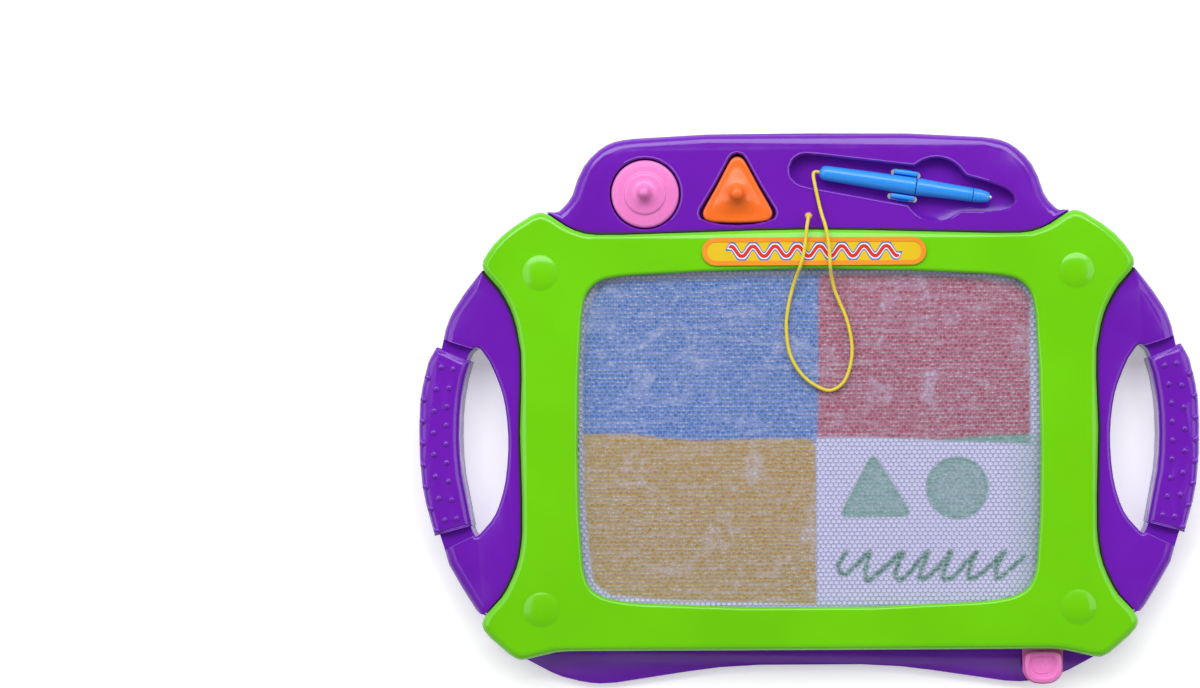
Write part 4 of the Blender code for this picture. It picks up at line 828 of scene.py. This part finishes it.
cell_walls = cell_plastic()
cell_powder = powder_cell_look()
left_edge = FIELD_CORNER[0] - LEFT_COLUMNS * CELL_PITCH
near_edge = FIELD_CORNER[1] - NEAR_PAIRS * 2 * ROW_PITCH
honeycomb("cells_far_left", (left_edge, FIELD_CORNER[1]), LEFT_COLUMNS, FAR_PAIRS)
honeycomb("cells_far_right", FIELD_CORNER, RIGHT_COLUMNS, FAR_PAIRS)
honeycomb("cells_near_left", (left_edge, near_edge), LEFT_COLUMNS, NEAR_PAIRS)
honeycomb("cells_near_right", (FIELD_CORNER[0], near_edge), RIGHT_COLUMNS, NEAR_PAIRS)

# The clear film only adds its gloss to what lies under it.
clear_film, tree, shader = new_look("clear_film")
ripple = noise(tree, object_place(tree), 30.0)
set_inputs(tree, shader, {
    "Base Color": (0.45, 0.45, 0.5, 1.0), "Alpha": 0.035,
    "Roughness": ranged(tree, ripple, 0.0, 1.0, 0.12, 0.34),
    "Normal": bumped(tree, ripple, 0.25, 0.0004),
})
film = moulded_copy("screen_front_film", "front_film")
use_look(film, clear_film)
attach(film, "board")
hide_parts("screen_front_film")


# Label
# A raised oval plate of yellow plastic with an orange rim, stuck between screen and tray. It is
# printed with a plain flourish: a red wave with a white and a blue outline.
LABEL_YELLOW = (0.80, 0.545, 0.012)
LABEL_ORANGE = (0.900, 0.300, 0.022)
LABEL_RIM = 0.0023
LABEL_EDGE = 0.0004
LABEL_GROOVE = 0.0003
LABEL_SINK = 0.00025
LABEL_MIDDLE = (0.0031, 0.0841)
WAVE_HEIGHT = 0.0026
WAVE_LENGTH = 0.0118
WAVE_REACH = 0.0445
WAVE_END = 0.9
WAVE_BANDS = (
    (0.00095, (0.760, 0.030, 0.022, 1.0)), (0.00155, (0.900, 0.900, 0.900, 1.0)),
    (0.00225, (0.030, 0.170, 0.620, 1.0)),
)
UPWARDS = 0.9


def printed_label():
    """Each band is drawn as far as it reaches from the wave's middle line."""
    made = moulded_plastic("label_print", LABEL_YELLOW)
    tree = made.node_tree
    shader = tree.nodes["Principled BSDF"]
    colour = shader.inputs["Base Color"].links[0].from_socket
    place = add_node(tree, "SeparateXYZ", {0: object_place(tree)}).outputs
    x = calculate(tree, "SUBTRACT", place["X"], LABEL_MIDDLE[0])
    y = calculate(tree, "SUBTRACT", place["Y"], LABEL_MIDDLE[1])
    turn = calculate(tree, "MULTIPLY", x, math.tau / WAVE_LENGTH)
    height = calculate(tree, "MULTIPLY", calculate(tree, "SINE", turn), WAVE_HEIGHT)
    steepest = WAVE_HEIGHT * math.tau / WAVE_LENGTH
    slope = calculate(tree, "MULTIPLY", calculate(tree, "COSINE", turn), steepest)
    steep = calculate(tree, "ADD", calculate(tree, "MULTIPLY", slope, slope), 1.0)
    away = calculate(tree, "ABSOLUTE", calculate(tree, "SUBTRACT", y, height))
    away = calculate(tree, "DIVIDE", away, calculate(tree, "SQRT", steep))
    past = calculate(tree, "SUBTRACT", calculate(tree, "ABSOLUTE", x), WAVE_REACH)
    past = calculate(tree, "MULTIPLY", calculate(tree, "MAXIMUM", past, 0.0), WAVE_END)
    away = calculate(tree, "ADD", away, past)
    for half_width, ink in reversed(WAVE_BANDS):
        within = calculate(tree, "LESS_THAN", away, half_width)
        colour = mixed(tree, within, colour, ink)
    set_inputs(tree, shader, {"Base Color": colour})
    return made


label_low, label_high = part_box("label_plate")
label = moulded_copy("label_plate", "label")
bpy.ops.object.mode_set(mode="EDIT")
bpy.ops.mesh.select_mode(type="FACE")
bpy.ops.mesh.select_all(action="DESELECT")
bpy.ops.object.mode_set(mode="OBJECT")
for face in label.data.polygons:
    face.select = face.normal.z > UPWARDS
bpy.ops.object.mode_set(mode="EDIT")
bpy.ops.mesh.inset(thickness=LABEL_EDGE)
bpy.ops.mesh.inset(thickness=LABEL_RIM - LABEL_EDGE)
bpy.ops.mesh.inset(thickness=LABEL_GROOVE, depth=-LABEL_SINK)
bpy.ops.object.mode_set(mode="OBJECT")
use_look(label, moulded_plastic("label_rim", LABEL_ORANGE, 0.32))
label.data.materials.append(printed_label())
half_length = (label_high.x - label_low.x) / 2
half_width = (label_high.y - label_low.y) / 2
for face in label.data.polygons:
    middle = face.center - Vector((*LABEL_MIDDLE, 0.0))
    along = max(0.0, abs(middle.x) - half_length + half_width)
    reach = math.hypot(along, middle.y)
    face.material_index = int(face.normal.z > UPWARDS and reach < half_width - LABEL_RIM)
even_shading(label)
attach(label, "board")
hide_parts("label_plate")


# Round stamp
# A pink moulded disc with a shallow raised ring and a cone that rises to a small knob. A black
# magnet is let into its underside.
ROUND_STAMP_MIDDLE = (-0.0869, 0.1155)
ROUND_STAMP_PROFILE = (
    (0.0, 30.0), (0.7, 29.97), (1.4, 29.75), (2.0, 29.3), (2.45, 28.6), (2.75, 27.7), (2.92, 26.6),
    (3.08, 25.4), (3.28, 24.2), (3.6, 23.0), (4.15, 21.95), (5.0, 21.2), (6.2, 20.8), (7.8, 20.6),
    (9.4, 20.5), (10.3, 20.42), (10.75, 20.25), (11.0, 19.95), (11.18, 19.62), (11.5, 19.42),
    (12.2, 19.36), (14.6, 19.3), (15.2, 19.22), (15.6, 19.12),
    (15.95, 19.12), (16.4, 19.1), (16.9, 18.98), (17.35, 18.75), (17.72, 18.4), (17.97, 17.95),
    (18.1, 17.4), (18.1, 11.3), (18.02, 11.0), (17.8, 10.8),
    (15.9, 10.8), (15.7, 11.0), (15.7, 12.5), (0.0, 12.5),
)
FINE_EDGE = 0.0002
PINK = (0.895, 0.227, 0.610)
MAGNET_BLACK = (0.028, 0.027, 0.030)


def turned_piece(name, profile, place=(0.0, 0.0), steps=96):
    """A point is drawn along the profile and the line is spun round an upright axis."""
    line = [
        Vector((place[0] + radius * MILLIMETRE, place[1], height * MILLIMETRE))
        for radius, height in profile
    ]
    bpy.ops.object.select_all(action="DESELECT")
    bpy.ops.mesh.primitive_plane_add(size=MILLIMETRE, location=line[0])
    piece = bpy.context.object
    piece.name = name
    bpy.ops.object.transform_apply()
    bpy.ops.object.mode_set(mode="EDIT")
    bpy.ops.mesh.select_mode(type="VERT")
    bpy.ops.mesh.select_all(action="SELECT")
    bpy.ops.mesh.merge(type="CENTER")
    for before, after in zip(line, line[1:]):
        bpy.ops.mesh.extrude_region_move(TRANSFORM_OT_translate={"value": after - before})
    bpy.ops.mesh.select_all(action="SELECT")
    bpy.ops.mesh.spin(steps=steps, angle=math.tau, center=(*place, 0.0), axis=(0.0, 0.0, 1.0))
    bpy.ops.mesh.select_all(action="SELECT")
    bpy.ops.mesh.remove_doubles(threshold=0.000002)
    close_up()
    even_shading(piece)
    return piece


pink_plastic = moulded_plastic("pink_plastic", PINK, 0.24)
magnet_black = moulded_plastic("magnet_black", MAGNET_BLACK, 0.62, grain=0.8, spread=0.2)
round_stamp = turned_piece("pink_stamp", ROUND_STAMP_PROFILE, ROUND_STAMP_MIDDLE)
use_look(round_stamp, pink_plastic)
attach(round_stamp, "round_stamp")
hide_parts("round_stamp")
round_magnet = moulded_copy("round_stamp_magnet", "pink_stamp_magnet")
use_look(round_magnet, magnet_black)
softened(round_magnet, FINE_EDGE, 2)
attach(round_magnet, "round_stamp")
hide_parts("round_stamp_magnet")


# Triangular stamp
# An orange moulded block with three rounded corners. A soft three-sided rise carries the knob, and
# a black magnet is let into its underside.
ORANGE = (1.0, 0.170, 0.021)
TRIANGLE_STAMP_MIDDLE = (-0.0376, 0.1148)
TRIANGLE_SIZE = 0.0206
TRIANGLE_OUTLINE = (
    (0, 0.990), (0.085, 0.972), (0.160, 0.915), (0.225, 0.820), (0.540, 0.225), (0.835, -0.300),
    (0.895, -0.430), (0.895, -0.545), (0.825, -0.640), (0.700, -0.685), (0.380, -0.715),
    (0, -0.725),
)
TRIANGLE_TIERS = (
    (1.000, 10.8, 1.0), (1.000, 17.4, 1.0), (0.993, 18.0, 1.0), (0.978, 18.5, 1.0),
    (0.955, 18.85, 1.0), (0.925, 19.05, 1.0), (0.890, 19.12, 1.0), (0.780, 19.16, 1.0),
    (0.720, 19.26, 1.0), (0.670, 19.42, 0.98), (0.610, 19.65, 0.93), (0.540, 19.92, 0.84),
    (0.470, 20.15, 0.72), (0.400, 20.42, 0.55), (0.330, 20.82, 0.36), (0.270, 21.4, 0.18),
    (0.225, 22.2, 0.05), (0.192, 23.2, 0.0), (0.168, 24.4, 0.0), (0.150, 25.6, 0.0),
)
TRIANGLE_KNOB_PROFILE = (
    (0.0, 30.0), (0.7, 29.97), (1.5, 29.75), (2.2, 29.35), (2.85, 28.75), (3.25, 28.0), (3.4, 27.2),
    (3.36, 26.4), (3.2, 25.6), (3.0, 24.9), (2.95, 24.4), (0.0, 24.4),
)


def closed_line(knots, pieces):
    """A smooth closed outline through the right half's knots and their mirrored ones."""
    around = [*knots, *[(-x, y) for x, y in reversed(knots[1:-1])]]
    wrapped = [*around[-2:], *around, *around[:3]]
    line = smooth_line([(x, y, 0.0) for x, y in wrapped], pieces)
    return [(point.x, point.y) for point in line[2 * pieces:(2 + len(around)) * pieces]]


def stacked(name, outline, tiers, middle):
    """Rings of one outline, drawn in and raised tier by tier and closed. A tier is its share of the
    outline, its height, and how far it keeps the outline's corners: at 0 it is a circle."""
    bpy.ops.object.select_all(action="DESELECT")
    bpy.ops.mesh.primitive_circle_add(vertices=len(outline), radius=MILLIMETRE, fill_type="NGON")
    piece = bpy.context.object
    piece.name = name
    round_mean = sum(math.hypot(*point) for point in outline) / len(outline)
    bpy.ops.object.mode_set(mode="EDIT")
    bpy.ops.mesh.select_all(action="SELECT")
    for number, (share, height, sharp) in enumerate(tiers):
        if number:
            bpy.ops.mesh.extrude_region_move()
        bpy.ops.object.mode_set(mode="OBJECT")
        ring = [vertex for vertex in piece.data.vertices if vertex.select]
        for vertex, (x, y) in zip(sorted(ring, key=lambda one: one.index), outline):
            scale = share * (sharp + (1 - sharp) * round_mean / math.hypot(x, y))
            vertex.co = (middle[0] + x * scale, middle[1] + y * scale, height * MILLIMETRE)
        bpy.ops.object.mode_set(mode="EDIT")
    close_up()
    even_shading(piece)
    return piece


triangle_line = [
    (x * TRIANGLE_SIZE, y * TRIANGLE_SIZE) for x, y in closed_line(TRIANGLE_OUTLINE, 8)
]
orange_plastic = moulded_plastic("orange_plastic", ORANGE, 0.24)
triangle_stamp = stacked("orange_stamp", triangle_line, TRIANGLE_TIERS, TRIANGLE_STAMP_MIDDLE)
use_look(triangle_stamp, orange_plastic)
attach(triangle_stamp, "triangle_stamp")
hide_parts("triangle_stamp")
triangle_knob = turned_piece("orange_stamp_knob", TRIANGLE_KNOB_PROFILE, TRIANGLE_STAMP_MIDDLE)
use_look(triangle_knob, orange_plastic)
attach(triangle_knob, "triangle_stamp")
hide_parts("triangle_stamp")
triangle_magnet = moulded_copy("triangle_stamp_magnet", "orange_stamp_magnet")
use_look(triangle_magnet, magnet_black)
softened(triangle_magnet, FINE_EDGE, 2)
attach(triangle_magnet, "triangle_stamp")
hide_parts("triangle_stamp_magnet")


# Pen
# A blue moulded pen of two barrels and a nose that are pushed together, with a small steel magnet
# for a tip. Fine rings mark the joints, and the cord is fixed in its round tail.
BLUE = (0.035, 0.310, 0.960)
STEEL = (0.62, 0.61, 0.60)
PEN_TAIL = (0.0062, 0.1267, 0.01695)
PEN_LEAN = math.radians(-8.7)
REAR_BARREL_PROFILE = (
    (0.0, 0.0), (0.8, 0.05), (1.6, 0.22), (2.4, 0.6), (3.05, 1.15), (3.55, 1.9), (3.85, 2.9),
    (4.0, 5.0), (4.14, 12.0), (4.3, 20.0), (4.42, 27.0), (4.47, 31.0), (4.56, 40.0), (4.65, 49.0),
    (4.65, 51.2), (4.58, 51.6), (4.4, 51.9), (4.2, 52.0), (3.4, 52.0), (0.0, 52.0),
)
FRONT_BARREL_PROFILE = (
    (0.0, 52.4), (4.2, 52.4), (4.45, 52.5), (4.6, 52.75), (4.65, 53.2), (4.6, 55.5), (4.48, 59.0),
    (4.3, 63.0), (4.14, 67.5), (4.0, 72.0), (3.9, 76.5), (3.86, 80.6), (3.62, 80.75),
    (3.62, 81.05), (3.84, 81.2), (3.82, 82.2), (3.7, 82.5), (3.5, 82.7), (0.0, 82.7),
)
NOSE_PROFILE = (
    (0.0, 83.05), (3.5, 83.05), (3.74, 83.2), (3.8, 83.5), (3.76, 84.2), (3.55, 84.4),
    (3.55, 84.65), (3.68, 84.85), (3.6, 86.0), (3.42, 87.6), (3.15, 89.2), (2.85, 90.4), (2.5, 91.3), (2.2, 91.7),
    (1.95, 91.8), (1.8, 91.8), (1.8, 85.4), (0.0, 85.4),
)
TIP_PROFILE = (
    (0.0, 85.7), (1.5, 85.7), (1.5, 92.3), (1.42, 92.75), (1.15, 93.05), (0.7, 93.18), (0.0, 93.2),
)


def pen_piece(name, node, profile, look):
    """Spun upright, then laid along the pen's own line."""
    piece = turned_piece(name, profile, steps=72)
    lean = Matrix.Rotation(PEN_LEAN, 4, "Z") @ Matrix.Rotation(math.pi / 2, 4, "Y")
    piece.data.transform(Matrix.Translation(PEN_TAIL) @ lean)
    use_look(piece, look)
    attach(piece, "pen")
    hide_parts(node)


blue_plastic = moulded_plastic("blue_plastic", BLUE, 0.2)
steel = moulded_plastic("steel", STEEL, 0.3, grain=0.5, spread=0.12)
steel.node_tree.nodes["Principled BSDF"].inputs["Metallic"].default_value = 1.0
pen_piece("pen_rear", "pen_rear_barrel", REAR_BARREL_PROFILE, blue_plastic)
pen_piece("pen_front", "pen_front_barrel", FRONT_BARREL_PROFILE, blue_plastic)
pen_piece("pen_nose_cone", "pen_nose", NOSE_PROFILE, blue_plastic)
pen_piece("pen_tip", "pen_magnet_tip", TIP_PROFILE, steel)


# Pen clip
# A springy blue clip, pushed up through two slots in the floor of the recess. Its two ears hold the
# pen at its seam.
CLIP_EDGE = 0.00028
clip = moulded_copy("pen_clip", "blue_clip")
softened(clip, CLIP_EDGE, 2)
use_look(clip, blue_plastic)
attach(clip, "board")
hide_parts("pen_clip")


# Eraser
# A pink knob slides under the near edge of the frame. Its arm carries a white bar with a magnet
# strip behind the screen, and a small screw joins the two.
KNOB_EDGE = 0.0004
KNOB_MIDDLE = (0.1243, -0.1371)
KNOB_HALF = (0.0098, 0.0083)
KNOB_SQUARED = 2.6
KNOB_RIDGES = (0.78, 0.56)
RIDGE_RADIUS = 0.0003
WHITE = (0.78, 0.78, 0.80)
knob = moulded_copy("eraser_knob", "eraser_pink_knob")
softened(knob, KNOB_EDGE)
use_look(knob, pink_plastic)
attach(knob, "eraser")
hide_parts("eraser_knob")

# Two fine ribs follow the knob's outline round its top.
ridges = []
for share in KNOB_RIDGES:
    bpy.ops.object.select_all(action="DESELECT")
    bpy.ops.mesh.primitive_circle_add(vertices=64, radius=1.0)
    for vertex in bpy.context.object.data.vertices:
        across, along = vertex.co.xy
        squared = abs(across) ** KNOB_SQUARED + abs(along) ** KNOB_SQUARED
        stretch = share / squared ** (1 / KNOB_SQUARED)
        x = KNOB_MIDDLE[0] + across * stretch * KNOB_HALF[0]
        y = KNOB_MIDDLE[1] + along * stretch * KNOB_HALF[1]
        _, place, _, _ = knob.ray_cast(Vector((x, y, ABOVE_ALL)), DOWN)
        vertex.co = (x, y, place.z)
    bpy.ops.object.convert(target="CURVE")
    ridge = bpy.context.object
    ridge.data.bevel_depth = RIDGE_RADIUS
    ridge.data.bevel_resolution = 2
    bpy.ops.object.convert(target="MESH")
    ridges.append(bpy.context.object)
ridges = joined(ridges, "knob_ridges")
bpy.ops.object.shade_smooth()
use_look(ridges, pink_plastic)
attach(ridges, "eraser")
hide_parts("eraser_knob")

white_plastic = moulded_plastic("white_plastic", WHITE, 0.38)
for node, name, look, slot in (
    ("eraser_bar", "eraser_white_bar", white_plastic, "white_plastic"),
    ("eraser_magnet", "eraser_magnet_strip", magnet_black, "black_magnet"),
):
    piece = moulded_copy(node, name)
    softened(piece, FINE_EDGE, 2)
    use_look(piece, look)
    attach(piece, "eraser")
    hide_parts(node)


# Screws
# Steel pan-head screws with a cross slot. Eight hold the frame from behind, and a ninth holds the
# eraser's arm. In the profile a shank with rings for its thread follows the head.
SCREW_HEAD_PROFILE = (
    (0.0, 0.35), (1.2, 0.2), (2.0, 0.05), (2.5, 0.25), (2.8, 0.7), (2.9, 1.2), (2.9, 1.95),
    (2.82, 2.15), (2.6, 2.2), (1.5, 2.2), (1.28, 2.35),
)
SCREW_POINT = ((0.9, 1.2), (0.25, 0.1), (0.0, 0.0))
POINT_LENGTH = 1.6
THREAD_START = 2.6
THREAD_PITCH = 1.0
THREAD_RING = ((1.0, 0.0), (1.28, 0.4), (1.0, 0.8))
SCREW_SLOT = (0.0038, 0.0008, 0.0012)


def screw_profile(length):
    """Radius and height of each corner, in millimetres; the point is given back from its end."""
    profile = list(SCREW_HEAD_PROFILE)
    height = THREAD_START
    while height < length - POINT_LENGTH:
        profile += [(radius, height + rise) for radius, rise in THREAD_RING]
        height += THREAD_PITCH
    return [*profile, *[(radius, length - before) for radius, before in SCREW_POINT]]


def slotted_screw(node, body):
    """Spun round its own axis, and cut twice across its head."""
    low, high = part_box(node)
    profile = screw_profile((high.z - low.z) / MILLIMETRE)
    piece = turned_piece(node + "_steel", profile, steps=24)
    for size in (SCREW_SLOT, (SCREW_SLOT[1], SCREW_SLOT[0], SCREW_SLOT[2])):
        bpy.ops.object.select_all(action="DESELECT")
        bpy.ops.mesh.primitive_cube_add(size=1.0)
        blade = bpy.context.object
        blade.scale = size
        bpy.ops.object.transform_apply()
        slot = piece.modifiers.new("slot", "BOOLEAN")
        slot.operation = "DIFFERENCE"
        slot.solver = "EXACT"
        slot.object = blade
        bpy.context.view_layer.objects.active = piece
        bpy.ops.object.modifier_apply(modifier=slot.name)
        bpy.data.objects.remove(blade)
    middle = (low + high) / 2
    piece.data.transform(Matrix.Translation((middle.x, middle.y, low.z)))
    even_shading(piece, 35.0)
    use_look(piece, steel)
    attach(piece, body)
    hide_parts(node)


for number in range(1, 9):
    slotted_screw(f"frame_screw_{number}", "board")
slotted_screw("eraser_screw", "eraser")


# Back sheet
# A thin sheet of milky white plastic that closes the cells from below. It rests on the back's ribs,
# and the eraser's bar runs under it.
MILKY_WHITE = (0.80, 0.80, 0.84)
sheet = moulded_copy("screen_back_sheet", "white_back_sheet")
use_look(sheet, moulded_plastic("white_sheet", MILKY_WHITE, 0.42))
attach(sheet, "board")
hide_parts("screen_back_sheet")


# Cord knot
# The end of the pen's cord under the tray, tied in a tight overhand knot. It is too wide to pass
# the hole from below.
KNOT_MIDDLE = (0.0003, 0.1032, 0.0141)
KNOT_TURN_RADIUS = 0.00125
KNOT_TIGHTNESS = 2.2
KNOT_RISE = 0.001375
KNOT_CORD_RADIUS = 0.00081
KNOT_STEPS = 72


def knot_line():
    """A three-lobed overhand turn round the middle."""
    line = []
    for number in range(KNOT_STEPS + 1):
        turn = math.tau * number / KNOT_STEPS
        reach = KNOT_TURN_RADIUS * (2 + math.cos(3 * turn)) / KNOT_TIGHTNESS
        line.append(Vector(KNOT_MIDDLE) + Vector((
            reach * math.cos(2 * turn), reach * math.sin(2 * turn), KNOT_RISE * math.sin(3 * turn),
        )))
    return line


knot = tube("yellow_knot", knot_line(), KNOT_CORD_RADIUS, 10)
knot.data.materials.append(cord_look)
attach(knot, "board")
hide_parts("cord_knot")

bpy.context.view_layer.update()
